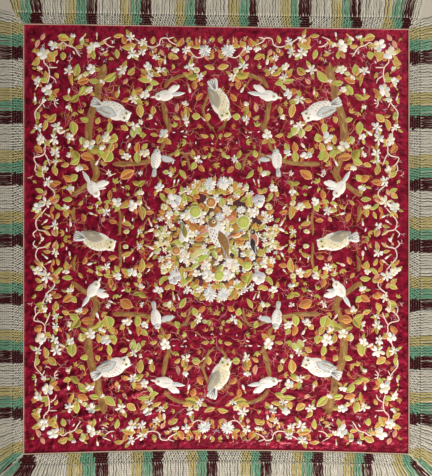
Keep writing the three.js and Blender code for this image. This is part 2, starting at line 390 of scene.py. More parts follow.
def floor_finish():
    """Painted studio floor: matt pale grey with hardly any texture."""
    made, tree = new_material("pale matt floor")
    place = add(tree, "ShaderNodeTexCoord").outputs["Object"]
    clouds = add(tree, "ShaderNodeTexNoise", Vector=place, Scale=2.0, Detail=5.0).outputs["Fac"]
    colour = add(tree, "ShaderNodeValToRGB", Fac=clouds)
    colour.color_ramp.elements[0].color = linear(FLOOR_GREY, 0.95)
    colour.color_ramp.elements[1].color = linear(FLOOR_GREY, 1.05)
    shader = add(tree, "ShaderNodeBsdfPrincipled", Base_Color=colour.outputs["Color"], Roughness=0.9)
    add(tree, "ShaderNodeOutputMaterial", Surface=shader.outputs["BSDF"])
    return made


materials = {"crimson silk satin": silk_satin(), "pale matt floor": floor_finish()}
materials.update({name: silk_floss(name, colour) for name, colour in FLOSS_COLOURS.items()})
materials.update({name: fringe_yarn(name, colour) for name, colour in YARN_COLOURS.items()})

# Meshes from arrays


class Work:
    """Gathers many small shapes into the arrays of one piece."""

    def __init__(self, on_silk=True):
        self.on_silk = on_silk
        self.lift = 0.0
        self.count = 0
        self.points, self.faces, self.silks, self.stitches, self.tones = [], [], [], [], []
        self.names = []

    def silk(self, name):
        if name not in self.names:
            self.names.append(name)
        return self.names.index(name)

    def add(self, points, faces, silks, stitch, tone):
        self.points.append(points)
        self.faces.append(faces + self.count)
        self.silks.append(silks)
        self.stitches.append(stitch)
        self.tones.append(np.full(len(points), tone))
        self.count += len(points)

    def make(self, name):
        points = np.concatenate(self.points)
        faces = np.concatenate(self.faces)
        if self.on_silk:
            points[:, 2] += silk_height(points[:, 0], points[:, 1])
        mesh = new_mesh(name, points, faces)
        for silk in self.names:
            mesh.materials.append(materials[silk])
        mesh.polygons.foreach_set("material_index", np.concatenate(self.silks).astype(np.int32))
        stitch = np.zeros((len(points), 3), np.float32)
        stitch[:, :2] = np.concatenate(self.stitches) * MM
        attribute = mesh.attributes.new("stitch", "FLOAT_VECTOR", "POINT")
        attribute.data.foreach_set("vector", stitch.ravel())
        tones = mesh.attributes.new("tone", "FLOAT", "POINT")
        tones.data.foreach_set("value", np.concatenate(self.tones).astype(np.float32))
        return new_piece(name, mesh)


def new_mesh(name, points, faces):
    """A mesh of triangles or quads from points in plan millimetres, with a map of it seen from above."""
    placed = np.array(points, float) * MM
    placed[:, :2] += PANEL_MIDDLE
    sides = faces.shape[1]
    mesh = bpy.data.meshes.new(name)
    mesh.vertices.add(len(placed))
    mesh.vertices.foreach_set("co", placed.astype(np.float32).ravel())
    mesh.loops.add(faces.size)
    mesh.loops.foreach_set("vertex_index", faces.astype(np.int32).ravel())
    mesh.polygons.add(len(faces))
    mesh.polygons.foreach_set("loop_start", np.arange(0, faces.size, sides, dtype=np.int32))
    mesh.polygons.foreach_set("use_smooth", np.full(len(faces), True))
    low, high = placed[:, :2].min(0), placed[:, :2].max(0)
    seen = (placed[:, :2] - low) / (high - low)
    layer = mesh.uv_layers.new(name="OFBake")
    layer.uv.foreach_set("vector", seen[faces.ravel()].astype(np.float32).ravel())
    mesh.update(calc_edges=True)
    return mesh


def new_piece(name, mesh):
    piece = bpy.data.objects.new(name, mesh)
    bpy.context.scene.collection.objects.link(piece)
    return piece


def turned(points, degrees):
    c, s = math.cos(math.radians(degrees)), math.sin(math.radians(degrees))
    return points @ np.array(((c, s), (-s, c)))


def smooth_line(points, step):
    """Points about step apart along a smooth curve through the given ones, with any further columns."""
    points = np.array(points, float)
    padded = np.vstack((2 * points[0] - points[1], points, 2 * points[-1] - points[-2]))
    made = []
    for a, b, c, d in zip(padded, padded[1:], padded[2:], padded[3:]):
        count = max(1, round(np.hypot(*(c - b)[:2]) / step))
        t = (np.arange(count) / count)[:, None]
        made.append(0.5 * (2 * b + (c - a) * t + (2 * a - 5 * b + 4 * c - d) * t**2
                           + (3 * b - a - 3 * c + d) * t**3))
    return np.vstack((*made, points[-1:]))


# Stitched shapes: domed pads and raised ribbons

Ring = namedtuple("Ring", "share lift")
PAD_RINGS = (Ring(1.0, None), Ring(0.77, 0.68), Ring(0.42, 0.95))
SUNK = -0.25  # the rim of a pad or ribbon is sewn down into the silk
pad_faces = {}


def faces_of_pad(n):
    """Triangles of a pad with n points round, with the ring that each belongs to."""
    if n not in pad_faces:
        rings = len(PAD_RINGS)
        i = np.arange(n)
        j = (i + 1) % n
        faces, bands_of = [], []
        for r in range(rings - 1):
            a, b, c, d = i + r * n, j + r * n, j + (r + 1) * n, i + (r + 1) * n
            faces += [np.stack((a, b, c), 1), np.stack((a, c, d), 1)]
            bands_of += [np.full(2 * n, r)]
        top = rings * n
        last = (rings - 1) * n
        faces.append(np.stack((i + last, j + last, np.full(n, top)), 1))
        bands_of.append(np.full(n, rings - 1))
        pad_faces[n] = np.concatenate(faces), np.concatenate(bands_of)
    return pad_faces[n]


def patch_tone(tone):
    """The given tone, or one of its own for a patch that has none."""
    return rng.uniform(0.1, 0.9) if tone is None else tone


def pad(work, outline, rim, heart, base=0.0, rise=1.6, grain=0.0, tone=None, over=None):
    """A raised patch of satin stitch. over gives the height of another patch that it is stitched on."""
    outline = np.asarray(outline, float)
    following = np.roll(outline, -1, 0)
    if (outline[:, 0] * following[:, 1] - outline[:, 1] * following[:, 0]).sum() < 0:
        outline = outline[::-1]
    middle = outline.mean(0)
    flat = np.vstack([middle + (outline - middle) * ring.share for ring in PAD_RINGS] + [middle[None]])
    n = len(outline)
    base += work.lift
    lifts = [SUNK if ring.lift is None else base + rise * ring.lift for ring in PAD_RINGS]
    z = np.concatenate([np.full(n, lift) for lift in lifts] + [[base + rise]])
    if over is not None:
        z = z + over(flat)
    faces, ring_of = faces_of_pad(n)
    silks = np.where(ring_of == 0, work.silk(rim), work.silk(heart))
    stitch = turned(flat - middle, -grain) + rng.uniform(0, 200, 2)
    work.add(np.column_stack((flat, z)), faces, silks, stitch, patch_tone(tone))


FLAT_RIBBON = (-1, -0.6, 0.6, 1)
FINE_RIBBON = (-1, 0, 1)


def ribbon(work, line, width, silk, base=0.0, rise=1.2, tone=None, step=10.0, across=FLAT_RIBBON):
    """A raised line of stitches along smoothly joined points. width is one number or a third column."""
    points = smooth_line(line, step)
    middle = points[:, :2]
    wide = points[:, 2] if points.shape[1] > 2 else np.full(len(points), float(width))
    ends = np.minimum(np.arange(len(points)), np.arange(len(points))[::-1])
    wide = wide * np.minimum(1.0, 0.35 + 0.45 * ends)
    run = np.gradient(middle, axis=0)
    run /= np.maximum(np.hypot(*run.T), 1e-9)[:, None]
    aside = np.stack((-run[:, 1], run[:, 0]), 1)
    k = len(across)
    offsets = np.array(across)[None, :] * wide[:, None] / 2
    flat = middle[:, None] + aside[:, None] * offsets[..., None]
    lift = np.array([SUNK if abs(a) == 1 else base + rise + work.lift for a in across])
    z = np.broadcast_to(lift, (len(points), k))
    i = np.arange(len(points) - 1)[:, None] * k + np.arange(k - 1)
    quads = np.stack((i + 1, i + k + 1, i + k, i), -1).reshape(-1, 4)
    faces = np.concatenate((quads[:, (0, 1, 2)], quads[:, (0, 2, 3)]))
    silks = np.full(len(faces), work.silk(silk))
    length = np.concatenate(([0], np.cumsum(np.hypot(*np.diff(middle, axis=0).T))))
    stitch = np.stack((np.repeat(length, k), offsets.reshape(-1)), 1)
    work.add(np.column_stack((flat.reshape(-1, 2), z.reshape(-1))), faces, silks, stitch,
             patch_tone(tone))


def oval(length, width, points=9, full=0.25):
    """A petal from its base at the origin along +x, fuller towards its tip."""
    t = np.linspace(0, 2 * math.pi, points, endpoint=False)
    x = length * (0.5 - 0.5 * np.cos(t))
    return np.stack((x, width / 2 * np.sin(t) * (1 - full + 2 * full * x / length)), 1)


def blade(length, width, points=6, bend=0.0):
    """A leaf with pointed ends from the origin along +x."""
    s = np.linspace(0, 1, points)
    half = width / 2 * np.sin(math.pi * s) ** 0.85 * (1.15 - 0.3 * s)
    swing = bend * length * s * (1 - s)
    upper = np.stack((s * length, swing + half), 1)
    lower = np.stack((s * length, swing - half), 1)[-2:0:-1]
    return np.vstack((upper, lower))


def disc(radius, points=10):
    t = np.linspace(0, 2 * math.pi, points, endpoint=False)
    return radius * np.stack((np.cos(t), np.sin(t)), 1)


class Spot:
    """Where a motif goes: its middle, turn, size and squash, then mirrored into its quarter."""

    def __init__(self, x, y, turn=0.0, scale=1.0, mirror=(1, 1), squash=1.0):
        self.at, self.turn, self.mirror = np.array((x, y), float), turn, np.array(mirror)
        self.scale = np.array((scale, scale * squash))

    def __call__(self, points, turn=0.0, x=0.0, y=0.0):
        """Points of a shape, turned and moved within the motif, in plan millimetres."""
        local = (turned(np.asarray(points, float), turn) + (x, y)) * self.scale
        return (turned(local, self.turn) + self.at) * self.mirror

    def moved(self, along):
        """The same spot further on in its own direction."""
        there = turned(np.array((along * self.scale[0], 0.0)), self.turn) + self.at
        return Spot(*there, self.turn, self.scale[0], self.mirror)

    def grain(self, turn=0.0):
        """Direction of a line that is turned within the motif, once placed."""
        t = math.radians(self.turn + turn)
        return math.degrees(math.atan2(math.sin(t) * self.mirror[1], math.cos(t) * self.mirror[0]))


# Flowers: petals, their width for their length, silks of the rim, the hearts and the eye, the eye's size,
# the angle that the petals fan over, and how uneven they are
FlowerKind = namedtuple("FlowerKind", "petals width rim hearts eye eye_size fan uneven")
WHITES = ("ivory floss", "mist floss", "ivory floss", "cream floss")
BLUISH = ("lilac floss", "mist floss", "ivory floss")
GREENISH = ("cream floss", "ivory floss", "pale green floss")
LIGHT_GREENS = ("cream floss", "pale green floss")
FLOWER_KINDS = {
    "blossom": FlowerKind(5, 0.82, "ivory floss", WHITES, "straw floss", 0.08, 360, 0.3),
    "star": FlowerKind(6, 0.5, "ivory floss", WHITES, "green floss", 0.07, 360, 0.4),
    "daisy": FlowerKind(14, 0.32, "ivory floss", ("mist floss", "ivory floss"), "mist floss", 0.13, 360, 0.1),
    "cup": FlowerKind(4, 0.58, "ivory floss", WHITES + ("blush floss",), None, 0, 150, 0.3),
    "bud": FlowerKind(1, 0.46, "ivory floss", ("ivory floss", "blush floss"), None, 0, 0, 0.15),
    "button": FlowerKind(6, 0.9, "cream floss", LIGHT_GREENS, "green floss", 0.18, 360, 0.15),
    "glory": FlowerKind(6, 0.9, "ivory floss", BLUISH, "slate floss", 0.06, 360, 0.2),
    "peony": FlowerKind(8, 0.62, "ivory floss", WHITES + ("blush floss",), "straw floss", 0.06, 360, 0.25),
    "rosette": FlowerKind(6, 0.9, "peach floss", ("rust floss", "gold floss"), "bark floss", 0.14, 360, 0.2),
    "cluster": FlowerKind(7, 0.6, "cream floss", GREENISH, "straw floss", 0.1, 360, 0.3),
}
FLOWER_BASE = 0.7
FLOWER_RISE = 1.6


def flower(work, spot, size, kind):
    k = FLOWER_KINDS[kind]
    reach = size / 2 if k.fan else size
    base = FLOWER_BASE + rng.uniform(0, 0.6)
    for i in range(k.petals):
        share = i / k.petals if k.fan == 360 else (i + 0.5) / k.petals - 0.5
        turn = k.fan * share + rng.uniform(-40, 40) * k.uneven
        length = reach * rng.uniform(1 - k.uneven, 1.1)
        shape = oval(length, length * k.width * rng.uniform(1 - k.uneven / 2, 1.1))
        start = 0.05 * reach * np.array((math.cos(math.radians(turn)), math.sin(math.radians(turn))))
        heart = str(rng.choice(k.hearts))
        pad(work, spot(shape, turn, *start), k.rim, heart, base + 0.12 * (i % 2), FLOWER_RISE,
            spot.grain(turn), rng.uniform(0.3, 0.95))
    if k.eye:
        pad(work, spot(disc(size * k.eye_size, 7)), k.eye, k.eye, base + 1.0, 1.0)
    else:
        calyx = blade(reach * 0.7, reach * 0.34, 5)
        for turn in ((150, 210) if k.fan else (180,)):
            shape = spot(calyx, turn, reach * 0.16)
            pad(work, shape, "straw floss", "green floss", base + 0.3, 1.0, spot.grain(turn))


# Leaves: silks of the rim and of the two halves
LEAF_SILKS = {
    "green": ("straw floss", "lime floss", "green floss"),
    "olive": ("green floss", "olive floss", "green floss"),
    "gold": ("straw floss", "gold floss", "green floss"),
    "rust": ("peach floss", "rust floss", "gold floss"),
    "rose": ("rose floss", "peach floss", "rose floss"),
    "pale": ("cream floss", "pale green floss", "lime floss"),
    "coral": ("rose floss", "copper floss", "rose floss"),
    "dark": ("brown floss", "bark floss", "olive floss"),
}
LEAF_BASE = 0.35
LEAF_RISE = 1.3


def leaf(work, spot, length, width, silks):
    """A leaf of two stitched halves that meet along a bent rib."""
    rim, *halves = LEAF_SILKS[silks]
    s = np.linspace(0, 1, 6)
    rib = np.stack((length * (s - 0.5), rng.uniform(-0.35, 0.35) * length * s * (1 - s)), 1)
    half = width / 2 * np.sin(math.pi * s) ** 0.85 * (1.2 - 0.4 * s)
    base = LEAF_BASE + rng.uniform(0, 0.4)
    for side, heart in zip((1, -1), halves):
        edge = rib + np.stack((np.zeros_like(s), side * half * rng.uniform(0.85, 1.1)), 1)
        pad(work, spot(np.vstack((edge, rib[-2:0:-1]))), rim, heart, base, LEAF_RISE, spot.grain(50 * side))


# The plan of one quarter, the lower left one: places in cm left of and below the middle

QUARTERS = ((1, 1), (-1, 1), (1, -1), (-1, -1))
Bloom = namedtuple("Bloom", "left down size turn kind")
Leaf = namedtuple("Leaf", "left down length width turn silks")


def blooms(*rows):
    return [Bloom(*row) for row in rows]


def leaves(*rows):
    return [Leaf(*row) for row in rows]


FIELD_BLOOMS = blooms(
    (82, 10, 3.4, 90, "bud"), (84.5, 17, 5.5, -90, "cup"), (68.5, 13.5, 3.4, 200, "bud"),
    (67, 17, 2.8, -80, "bud"), (62, 15.5, 6.2, 0, "star"), (55.5, 20.5, 6, 10, "blossom"),
    (50.5, 4, 3.6, 0, "button"), (51.5, 12, 2.4, 90, "bud"), (82, 29.5, 6, 80, "cup"),
    (77, 41, 6.5, 80, "cup"), (81.5, 47, 5, 200, "cup"), (71, 52.5, 7.2, 20, "blossom"),
    (64, 52, 6, 60, "cup"), (66, 44.5, 4, 120, "bud"), (62, 56.5, 7, 0, "blossom"),
    (82, 57.5, 6, 40, "blossom"), (57.5, 36, 3, 0, "bud"), (60.5, 37, 4, 0, "star"),
    (50.5, 46.5, 6.2, 15, "blossom"), (49.5, 50.5, 3.2, -60, "bud"), (43, 4, 4.6, 0, "star"),
    (38.5, 4, 4, -30, "bud"), (37.5, 10.5, 4, 60, "bud"), (47, 18.5, 6.6, 30, "blossom"),
    (43, 20.5, 3.4, 0, "button"), (39, 18.5, 2.6, 45, "bud"), (42.5, 27.5, 6.2, 90, "cup"),
    (32, 28.5, 6.2, -20, "blossom"), (26, 23, 2.4, 120, "bud"), (24, 30.5, 3.2, -80, "bud"),
    (21.5, 31.5, 2.8, -70, "bud"), (42, 36.5, 3.8, 0, "star"), (25, 36.5, 5.4, 170, "cup"),
    (10, 44.5, 6.4, 0, "star"), (40, 48, 5.8, 0, "blossom"), (29, 58.5, 6.8, 0, "blossom"),
    (84, 60.5, 4.4, 150, "bud"), (82.5, 74.5, 5, 100, "cup"), (83, 81, 3.6, -90, "bud"),
    (71, 83.5, 5.4, 0, "blossom"), (82.5, 94, 7.2, 0, "star"), (77, 91, 4.6, 40, "cup"),
    (70, 95, 6.6, 25, "blossom"), (63.5, 89, 5, 120, "cup"), (53, 94.5, 6.8, 10, "star"),
    (54.5, 84, 2.8, 90, "bud"), (73.5, 92.5, 2.8, 0, "button"), (46, 63.5, 6.2, 0, "star"),
    (43, 65, 4, -40, "cup"), (46.5, 78, 7.4, 0, "star"), (40.5, 81, 6.2, 80, "blossom"),
    (37.5, 91, 5.8, 60, "star"), (38.5, 96.5, 6.2, 0, "blossom"), (31, 95, 6.2, 20, "star"),
    (36, 69, 5, 140, "cup"), (17, 66.5, 6.8, 0, "star"), (17.5, 74.5, 5.6, -90, "cup"),
    (8, 68, 2.6, 40, "bud"), (9, 91, 5.4, 40, "star"), (15, 96.5, 6.4, 0, "star"),
    (11, 94.5, 3.6, 0, "button"), (15.5, 85, 3.6, 70, "bud"),
)
FIELD_LEAVES = leaves(
    (84, 14.5, 5, 3.8, 90, "gold"), (74, 12, 5, 2.8, 70, "rust"), (63.5, 11, 3.8, 2.2, 120, "rose"),
    (66, 19.5, 5, 2.2, 160, "green"), (61, 21, 5, 2.2, -20, "green"),
    (59.5, 24.5, 6, 3.4, -80, "rust"), (55.5, 17, 5, 3.2, 120, "green"),
    (51, 18.5, 6, 3.8, 150, "gold"), (58, 10, 5, 2.8, 10, "rust"), (50, 8.5, 6.5, 2.8, 20, "gold"),
    (83.5, 22, 6.5, 3, 175, "green"), (76, 20.5, 4, 2, -50, "gold"), (83, 33.5, 6.5, 4.2, 215, "rust"),
    (79.5, 34, 5.2, 3.8, -45, "green"), (84.5, 41, 5, 3, 160, "gold"),
    (79.5, 43.5, 6.5, 4.2, 150, "green"), (78.5, 47, 7, 5, -120, "olive"),
    (72, 45.5, 8.5, 5.2, 10, "rust"), (68, 50, 8.5, 4.8, 200, "olive"),
    (65.5, 48, 6, 4.2, 240, "green"), (60.5, 46.5, 8, 6.8, -70, "green"),
    (59, 51.5, 6, 3.8, -60, "gold"), (57, 56.5, 5.8, 4.8, -80, "green"),
    (75.5, 55, 5, 3.8, 100, "pale"), (66, 55.5, 6, 3.2, 100, "gold"), (50, 36, 9, 5.8, -30, "rust"),
    (42, 15, 9, 4.2, 75, "gold"), (37.5, 15, 5, 3, 10, "rust"), (43, 23, 4, 2.6, -90, "gold"),
    (42, 31.5, 6, 3.2, -30, "olive"), (45, 31, 4.6, 2.8, 200, "olive"),
    (30, 23.5, 6.5, 2.8, 65, "green"), (27, 27, 5, 3.2, 30, "gold"), (34, 25.5, 4, 2.2, 110, "gold"),
    (28.5, 37, 3.8, 2.8, 180, "pale"), (18.5, 36, 7, 3, 55, "green"), (22, 48, 4.8, 3.4, -70, "green"),
    (12.5, 41, 5.2, 3.6, 110, "green"), (8, 39, 5, 3, 40, "rust"), (13, 48, 4.6, 2.8, -110, "gold"),
    (6.5, 46, 3.6, 2.2, -20, "pale"), (44, 45.5, 8, 4.2, 90, "green"),
    (43.5, 51.5, 6.5, 3.6, -80, "rust"), (40, 52, 5, 3.2, -50, "green"),
    (53, 49, 4.2, 3.2, 230, "gold"), (31, 55, 4.8, 2.8, 150, "gold"), (27, 54.5, 4.8, 2.8, 40, "gold"),
    (35, 58, 5, 2.4, 10, "gold"), (47, 59, 6.2, 4.2, 80, "pale"), (6.5, 58, 5, 2.4, 190, "gold"),
    (80.5, 62, 8.5, 5.2, 80, "green"), (74, 66.5, 5.6, 3.2, 190, "green"),
    (66.5, 66.5, 4.2, 3.2, -60, "gold"), (60, 62, 7, 3.6, 95, "green"),
    (59.5, 66.5, 3.6, 2.6, -80, "rust"), (83.5, 79, 5, 3.2, 200, "gold"),
    (79.5, 79, 6.5, 3.6, -35, "olive"), (75, 83, 7, 4.2, 120, "green"),
    (74.5, 88.5, 7.2, 4.2, -20, "rust"), (68, 88, 6.8, 3.8, 0, "green"),
    (78.5, 94.5, 7.2, 4.6, -80, "green"), (81, 88.5, 6, 2, 75, "gold"),
    (59.5, 91, 9.5, 5, -40, "green"), (51, 88, 4.6, 2.4, -50, "rose"), (55.5, 81, 4, 2.8, 100, "gold"),
    (51, 77.5, 5, 3, 160, "rust"), (52, 98, 5.6, 2.6, -50, "gold"), (51.5, 62, 5, 3.2, 30, "gold"),
    (44, 60.5, 6, 4.2, 60, "pale"), (42.5, 71.5, 8.2, 4.2, 80, "gold"),
    (44, 77.5, 4.8, 3.8, 0, "green"), (43.5, 83, 5, 2.8, 170, "rust"),
    (40.5, 88.5, 7.6, 3, 190, "green"), (35, 87, 5.6, 3.2, 10, "green"), (41, 93, 6, 2.6, 60, "gold"),
    (33.5, 92.5, 6, 2.6, 20, "gold"), (47.5, 94, 6.2, 4.2, -40, "gold"),
    (37.5, 84.5, 5, 2.6, -40, "pale"), (36, 72, 5, 3.2, -80, "gold"), (22, 73.5, 6, 2.8, -85, "rose"),
    (17, 70, 6.6, 3.8, -90, "olive"), (11, 68.5, 5, 4.2, 0, "green"), (4.5, 68, 5, 3.6, 100, "gold"),
    (9.5, 79.5, 5.6, 3.2, -50, "rust"), (12.5, 86, 5, 3.4, 80, "rust"),
    (13.5, 91, 8.2, 4.2, 170, "olive"), (16.5, 92.5, 5, 2.8, 200, "gold"),
    (4, 96, 6.6, 3.2, 195, "gold"), (22, 68, 4.6, 2.2, 30, "gold"),
)
BORDER_BLOOMS = blooms(
    (90.5, 7.5, 6.8, 0, "star"), (98.5, 1.8, 3.4, 60, "bud"), (100, 17.5, 6.6, 0, "blossom"),
    (95, 20.5, 8.2, 0, "star"), (97, 9, 3, -40, "bud"), (95, 13.5, 3.2, 30, "bud"),
    (94.5, 32.5, 6.8, 0, "star"), (96, 38, 6, -90, "cup"), (90, 43.5, 4.8, 0, "star"),
    (90, 48.5, 6.2, 0, "star"), (98, 55.5, 7.2, 0, "blossom"), (91, 56, 8, 0, "star"),
    (100, 62.5, 6.8, 0, "star"), (90, 62.5, 8.2, 20, "star"), (96.5, 79, 5, 90, "cup"),
    (94.5, 83.5, 8.2, 0, "blossom"), (100, 88.5, 5.4, 0, "blossom"), (101.5, 80.5, 3.2, 80, "bud"),
    (101, 84.5, 3, -60, "bud"), (99.5, 95, 4.8, -60, "cup"), (97, 103.5, 7.6, 0, "blossom"),
    (91.5, 108.5, 8, 30, "blossom"), (80, 112.5, 4.6, -90, "cup"), (74, 113.5, 3.8, 0, "bud"),
    (70, 107.5, 7.8, 0, "blossom"), (65.5, 109, 5, 0, "cup"), (67, 113, 2.8, -90, "bud"),
    (47.5, 104, 7.6, 0, "star"), (42, 104.5, 6.2, 0, "star"), (48, 112.5, 6.2, 0, "star"),
    (41, 110.5, 6.2, 0, "star"), (33.5, 101.5, 5.2, 0, "star"), (29, 101.5, 3.6, 90, "bud"),
    (23, 107, 5.6, 90, "cup"), (17, 106, 6.8, 0, "star"), (6.5, 105.5, 7.6, 0, "daisy"),
    (9.5, 112.5, 2.8, 90, "bud"),
)
BORDER_LEAVES = leaves(
    (90.5, 3, 5, 2.4, 60, "rose"), (94.5, 3.5, 5, 2, 40, "gold"), (95, 7, 5, 2, 170, "gold"),
    (92, 13, 4.6, 2.2, 70, "rust"), (89, 13, 4.6, 2.2, 110, "gold"), (92, 16.5, 4.6, 2.2, 110, "rust"),
    (89, 18, 5.6, 2.6, 40, "green"), (100, 13.5, 6, 2.4, -40, "rust"), (90, 21, 5, 2.2, -30, "rose"),
    (99.5, 23.5, 4.6, 2.8, 150, "gold"), (99, 27, 5.6, 3.2, 210, "green"),
    (96, 26, 4, 2.6, -60, "rose"), (89.5, 32, 5.6, 3.2, 0, "rust"), (98.5, 36, 5.6, 3.4, 190, "green"),
    (90.5, 38, 6, 3.8, 70, "gold"), (99.5, 50, 6, 3.8, 40, "rust"), (96, 63.5, 7, 3.4, 100, "gold"),
    (92, 68, 7, 4.2, -40, "gold"), (95.5, 69, 4.2, 2.2, 190, "rust"), (100, 69, 5, 2.8, -100, "green"),
    (92, 80, 5.6, 3.2, 70, "green"), (89.5, 83, 5, 2.6, -30, "rust"), (97, 89, 6.6, 3.2, 190, "green"),
    (95, 91.5, 5, 2.6, -100, "gold"), (89.5, 91.5, 3.8, 2.2, 60, "gold"),
    (101, 99, 5.6, 3.6, 150, "gold"), (92, 102, 7, 4.6, 60, "gold"), (90, 104, 5, 3.2, -50, "gold"),
    (85.5, 102.5, 4.8, 3.6, 100, "green"), (85.5, 112.5, 6.6, 4.2, 20, "gold"),
    (100, 109, 5.6, 2.8, 110, "rose"), (97, 113, 4.6, 2.8, -60, "rose"),
    (75, 111, 5.6, 2.8, -80, "pale"), (77, 107.5, 5, 2.6, 180, "gold"),
    (68.5, 102.5, 4.2, 2.8, 80, "green"), (71, 102.5, 4, 2.4, 120, "rose"),
    (55.5, 103.5, 6, 3.2, 80, "green"), (49, 108, 9, 4.6, 170, "gold"),
    (51.5, 111, 5, 3.2, -110, "rust"), (54.5, 113.5, 6, 2.6, 0, "gold"),
    (35, 111.5, 5, 2.8, -80, "gold"), (30, 104.5, 4.6, 2.6, 60, "rose"),
    (23.5, 102, 5.6, 3.6, 30, "gold"), (20, 110, 6, 3.2, -60, "rust"),
    (10.5, 110, 6, 3.2, -110, "rust"), (11, 107.5, 5, 2.6, 170, "gold"),
    (17.5, 101.5, 4, 2.2, 80, "rose"), (5, 101.5, 4, 2, 60, "rose"),
)
# Boughs: left, down and width in cm along each
BOUGHS = [
    [(81, 24, 2.6), (75, 28.5, 3.2), (69, 33, 3.2), (67, 37, 3.4), (69, 42.5, 3), (71, 50, 3.4),
     (71.5, 60, 4.2), (70, 70, 4.4), (66.5, 79, 4.6), (66, 85, 4.8), (64, 91, 5), (63, 97, 5.2)],
    [(58, 42, 3), (51.5, 42, 3.4), (43, 42.5, 3.2), (36, 44, 2.6), (29, 45.5, 2), (22, 48.5, 1.8),
     (17.5, 47, 1.6), (15.5, 42.5, 1.4), (15, 38.5, 1.2)],
    [(31.5, 49, 1.8), (30, 52, 2), (29, 58, 2.4), (26.5, 62, 2.6), (28, 66.5, 2.8), (29, 72, 2.6),
     (30, 77, 2.4)],
    [(29, 84.5, 2.4), (26.5, 88, 2.4), (22, 90.5, 2.2), (17.5, 91.5, 2), (14, 91, 1.8)],
    [(3.5, 83.5, 1.6), (4.5, 80.5, 1.8), (7, 74, 1.6), (7, 70.5, 1.4), (4, 63.5, 1.2), (1, 62, 1)],
    [(54, 2, 1.4), (54, 6, 1.6), (53.5, 11, 1.6), (54.5, 17, 1.4)],
    [(78.5, 9, 1.6), (80, 13, 2), (79.5, 18, 1.8)],
]
# Border twigs, pale and forked
TWIGS = [
    [(92.5, 2), (96.5, 4.5), (100, 5.5), (101, 10), (98, 14), (95, 17.5)],
    [(100, 5.5), (102.5, 3), (101.5, 0.8)],
    [(92.5, 21.5), (90.5, 25), (91.5, 27.5), (94.5, 30), (96, 32.5)],
    [(96, 33), (97.5, 36.5), (97.5, 39), (101, 42.5), (102, 45.5), (98, 46.5), (96, 48.5), (96, 51.5),
     (95, 54.5), (97.5, 57.5), (99, 60.5)],
    [(101, 42), (101.5, 38.5), (100, 37.5)],
    [(96, 48), (94.5, 45), (93, 41)],
    [(101, 66.5), (101.5, 71), (98.5, 75), (97, 77.5), (96.5, 79.5)],
    [(97.5, 76.5), (96, 73.5)],
    [(90, 79), (90.5, 75.5), (89, 73.5)],
    [(94.5, 87), (93.5, 91.5), (94, 96), (96.5, 99), (96, 102)],
    [(93.5, 91.5), (90.5, 89.5), (89.5, 87)],
    [(94, 96), (89, 96)],
    [(89, 107.5), (86, 110), (83.5, 108.5), (79.5, 107), (77.5, 104), (76, 102)],
    [(87, 109), (87, 105.5)],
    [(63.5, 111), (60, 108), (57, 107.5)],
    [(63.5, 111), (59, 113)],
    [(64, 103.5), (60.5, 105.5)],
    [(46, 112.5), (43, 110.5), (38.5, 108), (34.5, 107.5), (32, 109), (31, 112), (27.5, 112.5),
     (26, 110.5), (22, 108.5)],
    [(27.5, 112), (23.5, 113)],
    [(16, 107.5), (13.5, 103.5), (10.5, 101.5), (6.5, 102.5)],
]
TWIG_WIDTH = 6.8
TWIG_STEP = 9.0
SIDE_TWIG_SPACING = 34.0
PLACE_JITTER = 3.0
TURN_JITTER = 8.0


def quarter_spot(row, mirror, turn=0.0, squash=1.0):
    """The place of a row of the plan in one quarter, off by a little, as hand work is."""
    shift = rng.uniform(-PLACE_JITTER, PLACE_JITTER, 2)
    return Spot(-row.left * CM + shift[0], -row.down * CM + shift[1], turn + rng.uniform(-1, 1) * TURN_JITTER,
                rng.uniform(0.94, 1.06), mirror, squash)


def quarter_line(points, mirror):
    line = np.array(points, float) * CM
    line[:, :2] *= -np.array(mirror)
    return line


def stitch_blooms(work, rows):
    for row in rows:
        turn = row.turn or rng.uniform(0, 360)
        squash = rng.uniform(0.72, 1.0)
        for mirror in QUARTERS:
            flower(work, quarter_spot(row, mirror, turn, squash), row.size * CM, row.kind)


def stitch_leaves(work, rows):
    for row in rows:
        for mirror in QUARTERS:
            leaf(work, quarter_spot(row, mirror, row.turn), row.length * CM, row.width * CM, row.silks)


SPRAY_SILKS = ("blush floss", "rose floss", "lilac floss")
SMALL_LEAF_SILKS = ("green", "gold", "gold", "rust", "olive", "green", "rust")


def leaves_under(rows):
    """Leaves that show from under the larger flowers, as rows of the plan."""
    made = []
    for row in rows:
        if row.size < 4.4 or row.kind in ("daisy", "glory", "cluster"):
            continue
        for _ in range(rng.integers(1, 4)):
            turn = rng.uniform(0, 360)
            length = row.size * rng.uniform(0.5, 0.85)
            left = row.left - 0.5 * row.size * math.cos(math.radians(turn))
            down = row.down - 0.5 * row.size * math.sin(math.radians(turn))
            silks = str(rng.choice(SMALL_LEAF_SILKS))
            made.append(Leaf(left, down, length, length * rng.uniform(0.4, 0.6), turn, silks))
    return made


BARK_SILKS = ("bark floss", "tan floss", "brown floss", "tan floss")
BOUGH_STEP = 12.0
BARK_STEP = 17.0


